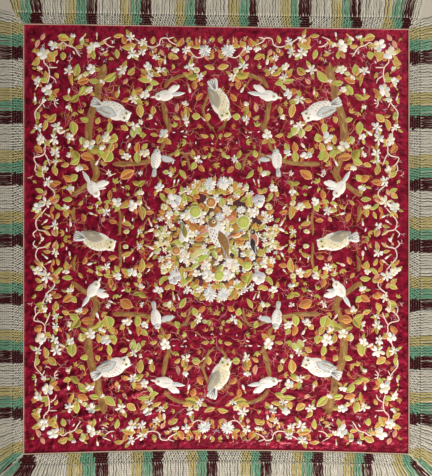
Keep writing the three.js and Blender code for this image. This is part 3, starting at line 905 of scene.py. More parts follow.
def stitch_boughs(work):
    for bough in BOUGHS:
        knobbly = np.array(bough, float)
        knobbly[:, 2] *= rng.uniform(0.85, 1.2, len(bough))
        for mirror in QUARTERS:
            line = quarter_line(knobbly, mirror)
            ribbon(work, line, None, "brown floss", 0.2, 1.0, 0.6, BOUGH_STEP)
            # Short slanting patches of lighter and darker bark
            points = smooth_line(line, BARK_STEP)
            run = np.gradient(points[:, :2], axis=0)
            for point, (dx, dy) in zip(points[1:-2], run[1:-2]):
                turn = math.degrees(math.atan2(dy, dx))
                place = point[:2] + rng.uniform(-0.18, 0.18, 2) * point[2]
                spot = Spot(*place, turn + rng.uniform(-8, 8))
                shape = oval(rng.uniform(36, 62), point[2] * rng.uniform(0.3, 0.55), 7, 0.0)
                silk = str(rng.choice(BARK_SILKS))
                pad(work, spot(shape), silk, silk, 0.85, 0.5, turn)


# Small work that fills the ground: sprays of twigs, little leaves and single stitches

Zone = namedtuple("Zone", "left0 left1 down0 down1")
BORDER_SIDE = Zone(88, 102.5, 0.5, 101)
BORDER_END = Zone(0.5, 102.5, 101, 112.6)
FIELD_ZONE = Zone(0.5, 86.5, 0.5, 99)
MEDALLION_RADIUS = 35.5
BORDER_SIDE_GAP = 1.7
BORDER_END_GAP = 1.1
FIELD_GAP = 1.7
PLACE_TRIES = 900
FIELD_SPRAY_WIDTH = 3.6
BORDER_SPRAY_WIDTH = 4.6


def occupied():
    """Places and reaches in cm of the motifs of a quarter."""
    taken = [(row.left, row.down, row.size * 0.45) for row in FIELD_BLOOMS + BORDER_BLOOMS]
    taken += [(row.left, row.down, row.length * 0.4) for row in FIELD_LEAVES + BORDER_LEAVES]
    taken += [(0.0, 0.0, MEDALLION_RADIUS)]
    for bird in BIRDS + [bird for bird, _ in MIDDLE_BIRDS]:
        for off in (-0.3, 0, 0.3):
            left = bird.left - off * bird.length * math.cos(math.radians(bird.turn))
            down = bird.down - off * bird.length * math.sin(math.radians(bird.turn))
            taken.append((left, down, bird.length * 0.2))
    for bough in BOUGHS:
        taken += [(left, down, width * 0.5) for left, down, width in smooth_line(bough, 2.0)]
    for twig in TWIGS:
        taken += [(left, down, 0.3) for left, down in smooth_line(twig, 1.0)]
    return taken


def open_places(taken, zone, gap, tries):
    """Places of a zone that keep a gap from what is taken and from each other."""
    found = []
    for _ in range(tries):
        left, down = rng.uniform(zone.left0, zone.left1), rng.uniform(zone.down0, zone.down1)
        if all(math.hypot(left - a, down - b) > r + gap for a, b, r in taken):
            taken.append((left, down, 0.6))
            found.append((left, down))
    return found


def twiglet(work, start, heading, steps, stride, wiggle, width, silk):
    """A thin line of stitches that wanders from its start, with two short forks."""
    line, headings = [start], [heading]
    for _ in range(steps):
        headings.append(headings[-1] + rng.uniform(-wiggle, wiggle))
        line.append(line[-1] + stride * np.array((math.cos(headings[-1]), math.sin(headings[-1]))))
    ribbon(work, line, width, silk, 0.1, 0.7, step=stride, across=FINE_RIBBON)
    for side in (-1, 1):
        k = rng.integers(1, steps)
        turn = headings[k] + side * rng.uniform(0.6, 1.1)
        fork = [line[k]]
        for _ in range(2):
            fork.append(fork[-1] + 0.8 * stride * np.array((math.cos(turn), math.sin(turn))))
            turn -= side * 0.3
        ribbon(work, fork, width * 0.8, silk, 0.1, 0.6, step=stride, across=FINE_RIBBON)


def stitch_small(work, places, silks, width):
    """Little leaves, single white stitches and sprays, in turn, at places of the quarter in cm."""
    for i, (left, down) in enumerate(places):
        turn = rng.uniform(0, 360)
        size = rng.uniform(22, 36)
        leaf_silks = str(rng.choice(SMALL_LEAF_SILKS))
        for mirror in QUARTERS:
            spot = Spot(-left * CM, -down * CM, turn + rng.uniform(-15, 15), rng.uniform(0.9, 1.1), mirror)
            if i % 5 in (0, 3):
                for fan in (-42, 0, 38):
                    part = Spot(*spot.at, spot.turn + fan, spot.scale[0] * rng.uniform(0.75, 1.0), mirror)
                    leaf(work, part.moved(size * 0.5), size, size * 0.42, leaf_silks)
            elif i % 5 == 1:
                shape = spot(oval(size * 0.7, size * 0.26, 7))
                pad(work, shape, "ivory floss", "ivory floss", 0.4, 1.2, spot.grain())
            else:
                silk = str(rng.choice(silks))
                start = spot(np.zeros((1, 2)))[0]
                heading = math.radians(spot.grain(rng.uniform(-20, 20)))
                twiglet(work, start, heading, 3, 11.0, 0.5, width, silk)


def stitch_twigs(work):
    for twig in TWIGS:
        for mirror in QUARTERS:
            line = quarter_line(twig, mirror)
            ribbon(work, line, TWIG_WIDTH, "blush floss", 0.4, 1.3, 0.8, TWIG_STEP)
            for point in smooth_line(line, SIDE_TWIG_SPACING)[1:-1]:
                silk = str(rng.choice(SPRAY_SILKS))
                twiglet(work, point, rng.uniform(0, 2 * math.pi), 3, 10.0, 0.6, TWIG_WIDTH * 0.55, silk)


# Tendrils that run between the motifs all over the field
TENDRIL_COUNT = 1300
TENDRIL_WIDTH = 3.2
TENDRIL_SILKS = ("copper floss", "pink floss", "copper floss", "gold floss", "rose floss")
FIELD_HALF = np.array((865.0, 985.0))


def stitch_tendrils(work):
    for i in range(TENDRIL_COUNT):
        start = rng.uniform(-1, 1, 2) * FIELD_HALF
        if np.hypot(*start) < MEDALLION_RADIUS * CM:
            continue
        inward = math.atan2(-start[1], -start[0])
        heading = inward + rng.uniform(-2.6, 2.6)
        silk = TENDRIL_SILKS[i % len(TENDRIL_SILKS)]
        steps = rng.integers(4, 9)
        stride = rng.uniform(9, 15)
        width = TENDRIL_WIDTH * rng.uniform(0.7, 1.3)
        twiglet(work, start, heading, steps, stride, 0.75, width, silk)


# Birds: drawn along +x from the tail at -0.5 to the crown at 0.5, for a bird of length 1


def mound(outline, rise):
    """Height of a bird's padded body over the silk, for what is stitched on it."""
    middle = outline.mean(0)
    angle = np.arctan2(*(outline - middle).T[::-1])
    order = np.argsort(angle)
    radius = np.hypot(*(outline - middle).T)
    shares = [ring.share for ring in PAD_RINGS[::-1]]

    def height(points):
        away = points - middle
        limit = np.interp(np.arctan2(away[:, 1], away[:, 0]), angle[order], radius[order], period=2 * math.pi)
        share = np.hypot(*away.T) / limit
        return np.interp(share, (0, *shares), (rise, 0.95 * rise, 0.65 * rise, 0))

    return height


def on_wing(wing, over, height):
    """Height of a wing that is stitched on a body, for the feathers on it."""
    return mound(wing, height + float(over(wing.mean(0)[None])[0]))


BIRD_BASE = 1.3
FOLDED_WING_TURN = 176


def body(work, spot, length, width, x, rim, heart, rise, full=0.12):
    shape = spot(oval(length, width, 18, full), 0, x)
    pad(work, shape, rim, heart, BIRD_BASE, rise, spot.grain(), 0.6)
    return mound(shape, rise + BIRD_BASE)


def feathers(work, spot, rows, over, silk_pairs):
    """Rows of overlapping feathers: (x, y, turn, length, width, count, spacing in x and y)."""
    for r, (x, y, turn, length, width, count, dx, dy) in enumerate(rows):
        rim, heart = silk_pairs[r % len(silk_pairs)]
        for i in range(count):
            shape = spot(oval(length, width, 8, 0.1), turn, x + dx * i, y + dy * i)
            tone = rng.uniform(0.2, 0.9)
            pad(work, shape, rim, heart, 0.1 + 0.1 * (i % 2), 0.6, spot.grain(turn), tone, over)


def eye(work, spot, x, y, radius, over, ring="pale green floss"):
    pad(work, spot(disc(radius * 2.1, 10), 0, x, y), "grey floss", ring, 0.3, 0.4, 0, 0.6, over)
    pad(work, spot(disc(radius, 8), 0, x, y), "dark floss", "dark floss", 0.7, 0.4, 0, 0.2, over)


def tail(work, spot, x, length, width, spread, count, pairs):
    for i in range(count):
        turn = 180 + spread * ((i + 0.5) / count - 0.5)
        rim, heart = pairs[i % len(pairs)]
        pad(work, spot(oval(length, width, 9, 0.2), turn, x), rim, heart, BIRD_BASE + 0.15 * (i % 2), 1.4,
            spot.grain(turn), rng.uniform(0.3, 0.8))


def legs(work, spot, x, y, turn):
    for dx in (0, 0.06):
        pad(work, spot(blade(0.11, 0.026, 5), turn, x + dx, y), "rust floss", "gold floss", 0.8, 1.0)


def owl(work, spot, breast, wing):
    """A perched owl: a square face with two eyes, a speckled breast, a folded wing and a fan of a tail."""
    tail(work, spot, -0.2, 0.31, 0.1, 46, 5, (("ivory floss", "mist floss"), ("grey floss", "ivory floss")))
    for turn in (168, 180, 192):
        pad(work, spot(blade(0.3, 0.03, 6), turn, -0.2), "slate floss", "slate floss", BIRD_BASE + 1.2, 0.7)
    over = body(work, spot, 0.68, 0.42, -0.3, "ivory floss", breast, 3.0)
    for row, y in enumerate((-0.16, -0.115, -0.07, -0.025)):
        for i in range(6):
            speck = "taupe floss" if (i + row) % 2 else "cream floss"
            shape = spot(oval(0.05, 0.03, 7), 180, 0.26 - 0.085 * i - 0.03 * row, y)
            pad(work, shape, breast, speck, 0.05, 0.5, spot.grain(), None, over)
    folded = spot(blade(0.6, 0.27, 9, 0.15), FOLDED_WING_TURN, 0.22, 0.085)
    pad(work, folded, "grey floss", wing, 0.4, 1.0, spot.grain(FOLDED_WING_TURN), 0.5, over)
    wing_silks = (("taupe floss", wing), ("cream floss", "taupe floss"), ("slate floss", wing))
    feathers(work, spot, [
        (0.16, 0.04, 176, 0.1, 0.05, 5, -0.07, 0.004),
        (0.14, 0.095, 174, 0.11, 0.05, 5, -0.07, 0.004),
        (0.02, 0.15, 172, 0.2, 0.045, 3, -0.07, -0.008),
    ], on_wing(folded, over, 1.4), wing_silks)
    for side in (-1, 1):
        tuft = spot(blade(0.08, 0.06, 5), 4 * side, 0.41, 0.1 * side)
        pad(work, tuft, "grey floss", "ivory floss", 1.6, 2.2)
    square = disc(0.15, 16)
    square = np.sign(square) * np.abs(square / 0.15) ** 0.7 * 0.14
    head = spot(square, 0, 0.34)
    pad(work, head, "ivory floss", breast, 1.8, 2.8, spot.grain(), 0.7)
    crown = mound(head, 4.6)
    for side in (-1, 1):
        eye(work, spot, 0.37, 0.062 * side, 0.024, crown)
    pad(work, spot(blade(0.06, 0.032, 5), 180, 0.34), "straw floss", "gold floss", 0.5, 0.6, 0, 0.5, crown)
    legs(work, spot, -0.2, -0.13, 240)


def dove(work, spot, wing_turn):
    """A white dove: a plump body with a pointed tail, a round-ended wing held out and another behind it."""
    pad(work, spot(blade(0.48, 0.13, 7), 180, -0.04), "ivory floss", "mist floss", BIRD_BASE, 1.4,
        spot.grain(), 0.8)
    pad(work, spot(blade(0.42, 0.11, 7), wing_turn + 24, 0.06), "ivory floss", "mist floss", BIRD_BASE, 1.5,
        spot.grain(wing_turn), 0.7)
    for turn, length in ((wing_turn, 0.52), (wing_turn - 9, 0.44)):
        shape = spot(oval(length, 0.16, 12, 0.12), turn, 0.08)
        pad(work, shape, "ivory floss", "ivory floss", BIRD_BASE + 0.3, 1.7, spot.grain(turn),
            rng.uniform(0.6, 0.9))
    over = body(work, spot, 0.5, 0.33, -0.18, "ivory floss", "ivory floss", 2.6, 0.16)
    row = (0.12, 0.03, 180, 0.1, 0.06, 3, -0.08, -0.01)
    feathers(work, spot, [row], over, (("grey floss", "ivory floss"),))
    head = spot(disc(0.12, 12), 0, 0.28)
    pad(work, head, "ivory floss", "ivory floss", 1.8, 2.4, spot.grain(), 0.8)
    crown = mound(head, 4.2)
    pad(work, spot(disc(0.06, 9), 0, 0.28), "slate floss", "cream floss", 0.3, 0.4, 0, 0.5, crown)
    pad(work, spot(disc(0.024, 7), 0, 0.28), "dark floss", "dark floss", 0.7, 0.4, 0, 0.3, crown)
    pad(work, spot(blade(0.2, 0.07, 6), 0, 0.34), "blush floss", "ivory floss", 1.0, 1.6)
    legs(work, spot, -0.06, -0.14, 262)


def songbird(work, spot, wing, breast, wing_turn=FOLDED_WING_TURN):
    """A small bird with a long tail, its wing folded or held out."""
    tail(work, spot, -0.12, 0.38, 0.1, 22, 3, (("grey floss", wing), (wing, "grey floss")))
    over = body(work, spot, 0.6, 0.36, -0.24, "ivory floss", breast, 2.6, 0.16)
    folded = wing_turn == FOLDED_WING_TURN
    shape = spot(blade(0.6, 0.24, 8, 0.1), wing_turn, 0.2, 0.06)
    pad(work, shape, "grey floss", wing, 0.5, 1.1, spot.grain(wing_turn), 0.5, over if folded else None)
    feathers(work, spot, [
        (0.2, -0.11, 180, 0.05, 0.03, 5, -0.085, 0.004),
        (0.24, -0.065, 180, 0.05, 0.03, 6, -0.085, 0.0),
        (0.2, -0.02, 180, 0.05, 0.03, 5, -0.085, 0.0),
    ], over, ((breast, "slate floss"), ("grey floss", "slate floss")))
    if folded:
        feathers(work, spot, [
            (0.12, 0.02, 176, 0.12, 0.06, 4, -0.09, 0.006),
            (0.08, 0.075, 174, 0.12, 0.06, 4, -0.09, 0.004),
            (-0.1, 0.04, 178, 0.24, 0.05, 2, -0.06, 0.03),
        ], on_wing(shape, over, 1.6), (("taupe floss", wing), ("slate floss", wing)))
    head = spot(disc(0.12, 12), 0, 0.34)
    pad(work, head, "grey floss", wing, 1.8, 2.4, spot.grain(), 0.6)
    eye(work, spot, 0.36, 0.03, 0.024, mound(head, 4.2), "cream floss")
    pad(work, spot(blade(0.14, 0.06, 6), 4, 0.42), "gold floss", "straw floss", 1.0, 1.4)
    legs(work, spot, -0.04, -0.15, 272)


# Birds of one quarter, then those on the middle lines, in cm left of and below the middle
Bird = namedtuple("Bird", "left down length turn draw looks")
BIRDS = [
    Bird(59, 72.5, 24, 24, owl, ("ivory floss", "mist floss")),
    Bird(27, 80.5, 19, 172, dove, (152,)),
    Bird(70, 30, 19, 58, dove, (-78,)),
    Bird(34, 43, 17, -82, songbird, ("mist floss", "ivory floss", 96)),
]
MIDDLE_BIRDS = [
    (Bird(-1.5, 78, 24.5, 68, owl, ("cream floss", "taupe floss")), ((1, 1), (1, -1))),
    (Bird(68, 1, 24.5, -13, owl, ("cream floss", "taupe floss")), ((1, 1), (-1, 1))),
]


def stitch_birds(work):
    placed = [(bird, mirror) for mirror in QUARTERS for bird in BIRDS]
    placed += [(bird, mirror) for bird, mirrors in MIDDLE_BIRDS for mirror in mirrors]
    for bird, mirror in placed:
        turn = bird.turn + rng.uniform(-2, 2)
        spot = Spot(-bird.left * CM, -bird.down * CM, turn, bird.length * CM, mirror)
        bird.draw(work, spot, *bird.looks)


# The middle medallion: a wreath, mirrored from one quarter, round a close bunch of flowers with birds

WREATH_BLOOMS = blooms(
    (3.8, 30.8, 7.8, 0, "daisy"), (16.5, 27.8, 4.6, 0, "star"), (13.4, 29.8, 4, 0, "star"),
    (23.6, 21.6, 8.6, 40, "glory"), (29.4, 18, 4.2, 0, "button"), (31, 11.4, 4.4, 0, "star"),
    (27, 10, 4.6, 0, "star"), (31.6, 2.4, 6.6, 0, "cluster"), (27.4, 2.8, 4.8, 0, "cluster"),
    (28.8, 6.4, 5, 0, "star"), (20, 26, 4, 0, "star"), (26.8, 14, 5.4, 0, "blossom"),
    (22.5, 16.5, 4.6, 0, "star"), (8.5, 27.8, 4.4, 0, "cluster"), (33.4, 7.4, 3.6, 0, "star"),
)
WREATH_LEAVES = leaves(
    (10.6, 30.4, 6, 4.4, -60, "gold"), (11.6, 26.4, 5, 3.6, 20, "green"),
    (18.6, 21.8, 9, 4.2, -70, "green"), (15.4, 22.6, 5.4, 3.4, 30, "olive"),
    (30.4, 14.8, 4.6, 3.2, 200, "rust"), (33.8, 4.4, 4.4, 3, 190, "gold"),
    (7.2, 32.8, 4.4, 2.8, -20, "rust"), (14, 25.6, 4, 2.8, 60, "gold"),
    (24.4, 27, 4, 2.6, -50, "gold"), (24.4, 12, 5, 3, 160, "rust"), (24.8, 6.4, 5, 3, 200, "gold"),
    (28.6, 22.2, 4, 2.4, 230, "olive"), (6.2, 26, 4.8, 2.8, 10, "rust"),
    (1.6, 26.6, 4.6, 3, 90, "gold"), (34.4, 10.4, 3.8, 2.4, 220, "olive"),
)
WREATH_RING = 243.0
WREATH_RING_WIDTH = 7.0
WREATH_RADII = (266.0, 304.0, 336.0)
WREATH_COUNT = 66
WREATH_MIX = ("star", "gold", "cluster", "pale", "star", "rust", "blossom", "green")
WREATH_FLOWER = 42.0
WREATH_LEAF = (50.0, 30.0)
# Dark patches under the medallion: painted shade in the gaps between its flowers
SHADE_PATCH_COUNT = 64
SHADE_PATCH_RADIUS = 44.0
UNDERLAY_COUNT = 84
UNDERLAY_RADIUS = 330.0
UNDERLAY_LEAF = (72.0, 42.0)
BUNCH_COUNT = 112
BUNCH_RADIUS = 236.0
BUNCH_FLOWER = 50.0
BUNCH_LEAF = (64.0, 38.0)
BUNCH_MIX = (
    "blossom", "gold", "star", "pale", "cluster", "rust",
    "blossom", "olive", "daisy", "pale", "rosette", "blossom",
)
GOLDEN_ANGLE = 137.5
# Height of each layer of the medallion over the silk
WREATH_LIFT = 0.8
BUNCH_LIFT = 1.4
BIRD_LIFT = 2.6
# Large white flowers: x, y and size in mm
PEONIES = [
    (88, -142, 96), (64, -205, 84), (-44, -208, 92), (-176, -100, 88), (-60, -150, 80), (60, 160, 70),
    (-170, 130, 72), (196, 150, 66), (-150, 30, 60), (200, -90, 62),
]
# Large leaves: x, y, turn, length and width, and their silks
BUNCH_LEAVES = [
    (-90, -92, 25, 150, 92, "pale"), (-72, 52, 38, 105, 44, "coral"), (66, 116, 14, 105, 40, "coral"),
    (118, 62, 40, 92, 54, "gold"), (-128, 74, -30, 88, 56, "rust"), (96, -62, -50, 84, 46, "pale"),
]
# Songbirds: x, y, turn and length, then the silks of the wing and the breast
MEDALLION_BIRDS = [
    ((-14, 6, 68, 266, (-1, 1)), "brown floss", "ivory floss"),
    ((-184, 24, -80, 150), "olive floss", "ivory floss"),
    ((212, -12, 98, 150), "dark floss", "copper floss"),
    ((108, 22, 20, 105), "rust floss", "peach floss"),
]
# Round leaves: x, y and size in mm, and their silk
LILY_PADS = [
    (-118, 152, 78, "lime floss"), (152, 95, 84, "lime floss"), (16, -205, 70, "lime floss"),
    (-225, -66, 56, "rust floss"), (172, -150, 56, "lime floss"), (-30, 205, 66, "rust floss"),
]


def lily_pad(work, x, y, size, silk):
    """A round leaf with rays, such as a water lily's."""
    spot = Spot(x, y, rng.uniform(0, 360))
    pad(work, spot(disc(size / 2, 16)), "cream floss", silk, 1.3, 1.8, 0, 0.6)
    over = mound(spot(disc(size / 2, 16)), 3.1 + work.lift)
    for k in range(9):
        shape = spot(blade(size * 0.38, size * 0.05, 5), 40 * k)
        pad(work, shape, "straw floss", "straw floss", 0.1 - work.lift, 0.4, spot.grain(40 * k), 0.7, over)


def spiral(count, radius):
    """Spots spread evenly over a disc, each turned away from the middle."""
    for k in range(count):
        away = radius * math.sqrt((k + 0.5) / count)
        turn = GOLDEN_ANGLE * k
        x, y = away * math.cos(math.radians(turn)), away * math.sin(math.radians(turn))
        yield Spot(x, y, turn + rng.uniform(-60, 60), rng.uniform(0.75, 1.2), squash=rng.uniform(0.75, 1.0))


def leaf_or_flower(work, spot, kind, leaf_size, flower_size):
    if kind in LEAF_SILKS:
        leaf(work, spot, *leaf_size, kind)
    else:
        flower(work, spot, flower_size, kind)


def stitch_medallion(work):
    # Dark patches under the wreath and the bunch: painted shade that shows in the gaps between the flowers
    for spot in spiral(SHADE_PATCH_COUNT, WREATH_RING):
        pad(work, spot(disc(SHADE_PATCH_RADIUS, 8)), "wine floss", "wine floss", 0.0, 0.5)
    for spot in spiral(UNDERLAY_COUNT, UNDERLAY_RADIUS):
        leaf(work, spot, *UNDERLAY_LEAF, str(rng.choice(("dark", "rust", "olive", "gold"))))
    for start in range(0, 360, 40):
        t = np.radians(np.linspace(start, start + rng.uniform(18, 30), 6))
        arc = WREATH_RING * np.stack((np.cos(t), np.sin(t)), 1)
        ribbon(work, arc, WREATH_RING_WIDTH, "dark floss", 1.2, 0.9)
    work.lift = WREATH_LIFT
    for k in range(WREATH_COUNT):
        kind = WREATH_MIX[k % len(WREATH_MIX)]
        turn = 360 * k / WREATH_COUNT
        away = WREATH_RADII[k % 3] * np.array((math.cos(math.radians(turn)), math.sin(math.radians(turn))))
        spot = Spot(*away, turn + rng.uniform(-70, 70), squash=rng.uniform(0.75, 1.0))
        leaf_or_flower(work, spot, kind, WREATH_LEAF, WREATH_FLOWER)
    stitch_leaves(work, WREATH_LEAVES)
    stitch_blooms(work, WREATH_BLOOMS)
    for k, spot in enumerate(spiral(BUNCH_COUNT, BUNCH_RADIUS)):
        leaf_or_flower(work, spot, BUNCH_MIX[k % len(BUNCH_MIX)], BUNCH_LEAF, BUNCH_FLOWER)
    work.lift = BUNCH_LIFT
    for x, y, size in PEONIES:
        flower(work, Spot(x, y, rng.uniform(0, 360), squash=0.8), size, "peony")
        flower(work, Spot(x, y, rng.uniform(0, 360), squash=0.8), size * 0.55, "peony")
    for x, y, size, silk in LILY_PADS:
        lily_pad(work, x, y, size, silk)
    for x, y, turn, length, width, silks in BUNCH_LEAVES:
        leaf(work, Spot(x, y, turn), length, width, silks)
    work.lift = BIRD_LIFT
    for place, wing, breast in MEDALLION_BIRDS:
        songbird(work, Spot(*place), wing, breast)
    work.lift = 0.0


# The silk

SILK_STEP_ACROSS = 11.0
SILK_STEP_FINE = 10.0
SILK_STEP_BROAD = 14.0
CREASED_BAND = 450.0


def silk_panel():
    """The silk sheet on the same creases as its solid, finer where it is creased."""
    foot, head = EDGES[0], EDGES[2]
    columns = np.linspace(0, 1, round(PANEL_WIDTH / SILK_STEP_ACROSS) + 1)
    band = CREASED_BAND / PANEL_LENGTH
    fine = np.linspace(0, band, round(CREASED_BAND / SILK_STEP_FINE) + 1)
    broad = np.linspace(band, 1 - band, round((PANEL_LENGTH - 2 * CREASED_BAND) / SILK_STEP_BROAD) + 1)
    rows = np.concatenate((fine[:-1], broad, 1 - fine[-2::-1]))
    low = foot.point(columns * foot.length, np.zeros_like(columns))
    high = head.point((1 - columns) * head.length, np.zeros_like(columns))
    flat = (low[None] * (1 - rows)[:, None, None] + high[None] * rows[:, None, None]).reshape(-1, 2)
    top = silk_height(flat[:, 0], flat[:, 1])
    n, m = len(rows), len(columns)
    i = (np.arange(n - 1)[:, None] * m + np.arange(m - 1)).reshape(-1)
    upper = np.stack((i, i + 1, i + m + 1, i + m), 1)
    under = upper[:, ::-1] + n * m
    rim = np.concatenate((np.arange(m), np.arange(1, n) * m + m - 1, np.arange(m - 2, -1, -1) + (n - 1) * m,
                          np.arange(n - 2, 0, -1) * m))
    following = np.roll(rim, -1)
    wall = np.stack((rim, rim + n * m, following + n * m, following), 1)[:, ::-1]
    points = np.vstack((np.column_stack((flat, top)), np.column_stack((flat, top - SILK_THICKNESS))))
    mesh = new_mesh("silk", points, np.concatenate((upper, under, wall)))
    mesh.materials.append(materials["crimson silk satin"])
    return new_piece("silk", mesh)


# Edge braid

BRAID_STEP = 4.0
BRAID_SECTION = ((0.0, 0.0), (0.04, 0.62), (0.3, 1.0), (0.5, 0.8), (0.7, 1.0), (0.96, 0.62), (1.0, 0.0))


def edge_braid(edge):
    """A narrow woven tape: two plaited ridges with a groove between them."""
    work = Work(on_silk=False)
    count = round(edge.length / BRAID_STEP)
    share = np.linspace(0, 1, count + 1)
    rows = []
    for k, (across, high) in enumerate(BRAID_SECTION):
        v = SEWING_GAP + BRAID_WIDTH * across
        flat = edge.point(edge.spread(share, v), np.full(count + 1, v))
        lift = (-1) ** k * 0.12 * np.sin(np.arange(count + 1) * math.pi / 2 + 0.8 * k) if 0 < high else 0
        rows.append(np.column_stack((flat, BRAID_THICKNESS * (high + lift) * np.ones(count + 1))))
    k = len(rows)
    points = np.stack(rows, 1).reshape(-1, 3)
    i = np.arange(count)[:, None] * k + np.arange(k)
    j = np.arange(count)[:, None] * k + (np.arange(k) + 1) % k
    quads = np.stack((i, i + k, j + k, j), -1).reshape(-1, 4)
    ends = [[0, a + 1, a] for a in range(1, k - 1)]
    ends += [[count * k, count * k + a, count * k + a + 1] for a in range(1, k - 1)]
    faces = np.concatenate((quads[:, (0, 1, 2)], quads[:, (0, 2, 3)], np.array(ends)))
    length = np.repeat(share * edge.length, k)
    stitch = np.stack((length, np.tile([BRAID_WIDTH * a for a, _ in BRAID_SECTION], count + 1)), 1)
    work.add(points, faces, np.full(len(faces), work.silk("tape yarn")), stitch, 0.55)
    return work.make(f"braid_{edge.name}")


# Fringe: a knotted net, then loose yarn from its last row of knots

KNOT_PITCH = 14.5
KNOT_RADIUS = 4.4
NET_CORD_WIDTH = 4.4
NET_ROWS = 4
NET_SHADE_BAND_WIDTH = 11.0  # a band of yarn behind the meshes, its colour darkened as painted shade in the holes
NET_HEIGHT = 4.2
YARN_LIFT = 0.2  # yarn lies this much above the floor
KNOT_POINTS = np.array([(1, 0, 0), (0, 1, 0), (-1, 0, 0), (0, -1, 0), (0, 0, 1), (0, 0, -1)], float)
KNOT_FACES = np.array([
    (0, 1, 4), (1, 2, 4), (2, 3, 4), (3, 0, 4),
    (1, 0, 5), (2, 1, 5), (3, 2, 5), (0, 3, 5),
])


def bar(work, line, width, height, low, silk, tone):
    """A three-sided strand along points in the plan, lying flat at height low."""
    run = np.gradient(line, axis=0)
    run /= np.maximum(np.hypot(*run.T), 1e-9)[:, None]
    aside = np.stack((-run[:, 1], run[:, 0]), 1) * (np.asarray(width) / 2).reshape(-1, 1)
    n = len(line)
    low = np.broadcast_to(low, n)
    points = np.stack((
        np.column_stack((line + aside, low)),
        np.column_stack((line - aside, low)),
        np.column_stack((line, low + height)),
    ), 1).reshape(-1, 3)
    i = np.arange(n - 1)[:, None] * 3 + np.arange(3)
    j = np.arange(n - 1)[:, None] * 3 + (np.arange(3) + 1) % 3
    quads = np.stack((i, i + 3, j + 3, j), -1).reshape(-1, 4)
    last = 3 * (n - 1)
    ends = [[0, 1, 2], [last, last + 2, last + 1]]
    faces = np.concatenate((quads[:, (0, 1, 2)], quads[:, (0, 2, 3)], ends))
    length = np.concatenate(([0], np.cumsum(np.hypot(*np.diff(line, axis=0).T))))
    stitch = np.stack((np.repeat(length, 3), np.tile((-1.0, 1.0, 0.0), n)), 1)
    work.add(points, faces, np.full(len(faces), work.silk(silk)), stitch, tone)


def net_columns(edge):
    depth = SEWING_GAP * 2 + BRAID_WIDTH + NET_DEPTH
    return round((edge.length + sum(edge.mitres) * depth) / KNOT_PITCH)


def net_spot(edge, row, column):
    """Plan place of a knot, and its place along the edge. Every second row is shifted by half a mesh."""
    columns = net_columns(edge)
    v = SEWING_GAP * 2 + BRAID_WIDTH + 2 + (NET_DEPTH - 4) * row / NET_ROWS
    share = (column + 0.5 + 0.5 * (row % 2)) / (columns + 0.5)
    wobble = 1.6 * math.sin(column * 2.4 + row * 1.7)
    u = float(edge.spread(share, v)) + wobble
    return edge.point(np.array(u), np.array(v)), u


def fringe_net(edge):
    work = Work(on_silk=False)
    columns = net_columns(edge)
    for row in range(NET_ROWS + 1):
        for column in range(columns):
            spot, u = net_spot(edge, row, column)
            silk = edge.stripe(u + rng.normal(0, 3))
            size = KNOT_RADIUS * rng.uniform(0.85, 1.15) * (1 if row else 0.8)
            knot = KNOT_POINTS * (size, size, NET_HEIGHT * 0.6) + (*spot, NET_HEIGHT * 0.6 + YARN_LIFT)
            silks = np.full(len(KNOT_FACES), work.silk(silk))
            work.add(knot, KNOT_FACES, silks, KNOT_POINTS[:, :2] * size, rng.uniform(0.7, 1.1))
            if column:
                before, _ = net_spot(edge, row, column - 1)
                # A flat band along the row under the meshes; its low tone paints the shade that fills the
                # holes
                bar(work, np.stack((before, spot)), np.full(2, NET_SHADE_BAND_WIDTH), 0.5, 0.1, silk, -0.25)
            if row == NET_ROWS:
                continue
            shift = -1 if row % 2 == 0 else 1
            for other in (column, column + shift):
                if 0 <= other < columns:
                    end, _ = net_spot(edge, row + 1, other)
                    line = np.stack((spot, (spot + end) / 2 + rng.normal(0, 0.4, 2), end))
                    width = np.full(3, NET_CORD_WIDTH)
                    bar(work, line, width, NET_HEIGHT * 0.8, YARN_LIFT, silk, rng.uniform(0.3, 0.8))
    return work.make(f"fringe_net_{edge.name}")


YARN_WIDTH = 3.6
YARN_HEIGHT = 4.0
YARN_STEPS = 10
CRINKLE = 2.8
CRINKLE_WAVE = 46.0
# Yarns of one knot: place across the lock and tone; the last lies deep between two locks, and its tone below
# zero paints it dark as their shade
LOCK_YARNS = ((-0.27, 0.75), (0.0, 0.95), (0.27, 0.65), (0.5, -0.4))


def fringe_strands(edge):
    """Loose yarn that hangs out of the last knots in crinkled locks and leans outwards near the corners."""
    work = Work(on_silk=False)
    root_v = SEWING_GAP * 2 + BRAID_WIDTH + NET_DEPTH - 2
    share = np.linspace(0, 1, YARN_STEPS + 1)
    for column in range(net_columns(edge)):
        _, knot_u = net_spot(edge, NET_ROWS, column)
        silk = edge.stripe(knot_u)
        lock_lean = float(edge.lean(np.array(knot_u))) + math.radians(2.0 * math.sin(column * 1.9))
        lock_reach = STRAND_REACH * rng.uniform(0.93, 1.0)
        phase = column * 0.5 + rng.uniform(0, 1.2)
        for across, tone in LOCK_YARNS:
            # A yarn with a tone below zero is painted dark, as shade between the locks
            in_painted_shade = tone < 0
            lean = lock_lean + math.radians(rng.normal(0, 1.3))
            reach = lock_reach * rng.uniform(0.93, 1.0)
            wave = np.sin(share * reach * 2 * math.pi / CRINKLE_WAVE + phase + rng.uniform(0, 0.5))
            aside = KNOT_PITCH * across * np.minimum(1, share * 6)
            u = knot_u + reach * share * math.sin(lean) + CRINKLE * wave * share**0.3 + aside
            v = root_v + reach * share * math.cos(lean)
            taper = np.interp(share, (0, 0.1, 0.8, 1), (0.7, 1, 0.95, 0.5))
            width = YARN_WIDTH * taper * (1.4 if in_painted_shade else 1)
            height = (0.9 if in_painted_shade else YARN_HEIGHT) * np.interp(share, (0, 0.7, 1), (1, 0.9, 0.4))
            bar(work, edge.point(u, v), width, height, YARN_LIFT, silk, tone + rng.uniform(-0.15, 0.15))
    return work.make(f"fringe_strands_{edge.name}")


# Making the pieces


def stitched(name, *steps):
    work = Work()
    for step, *rows in steps:
        step(work, *rows)
    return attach(work.make(name), "root")


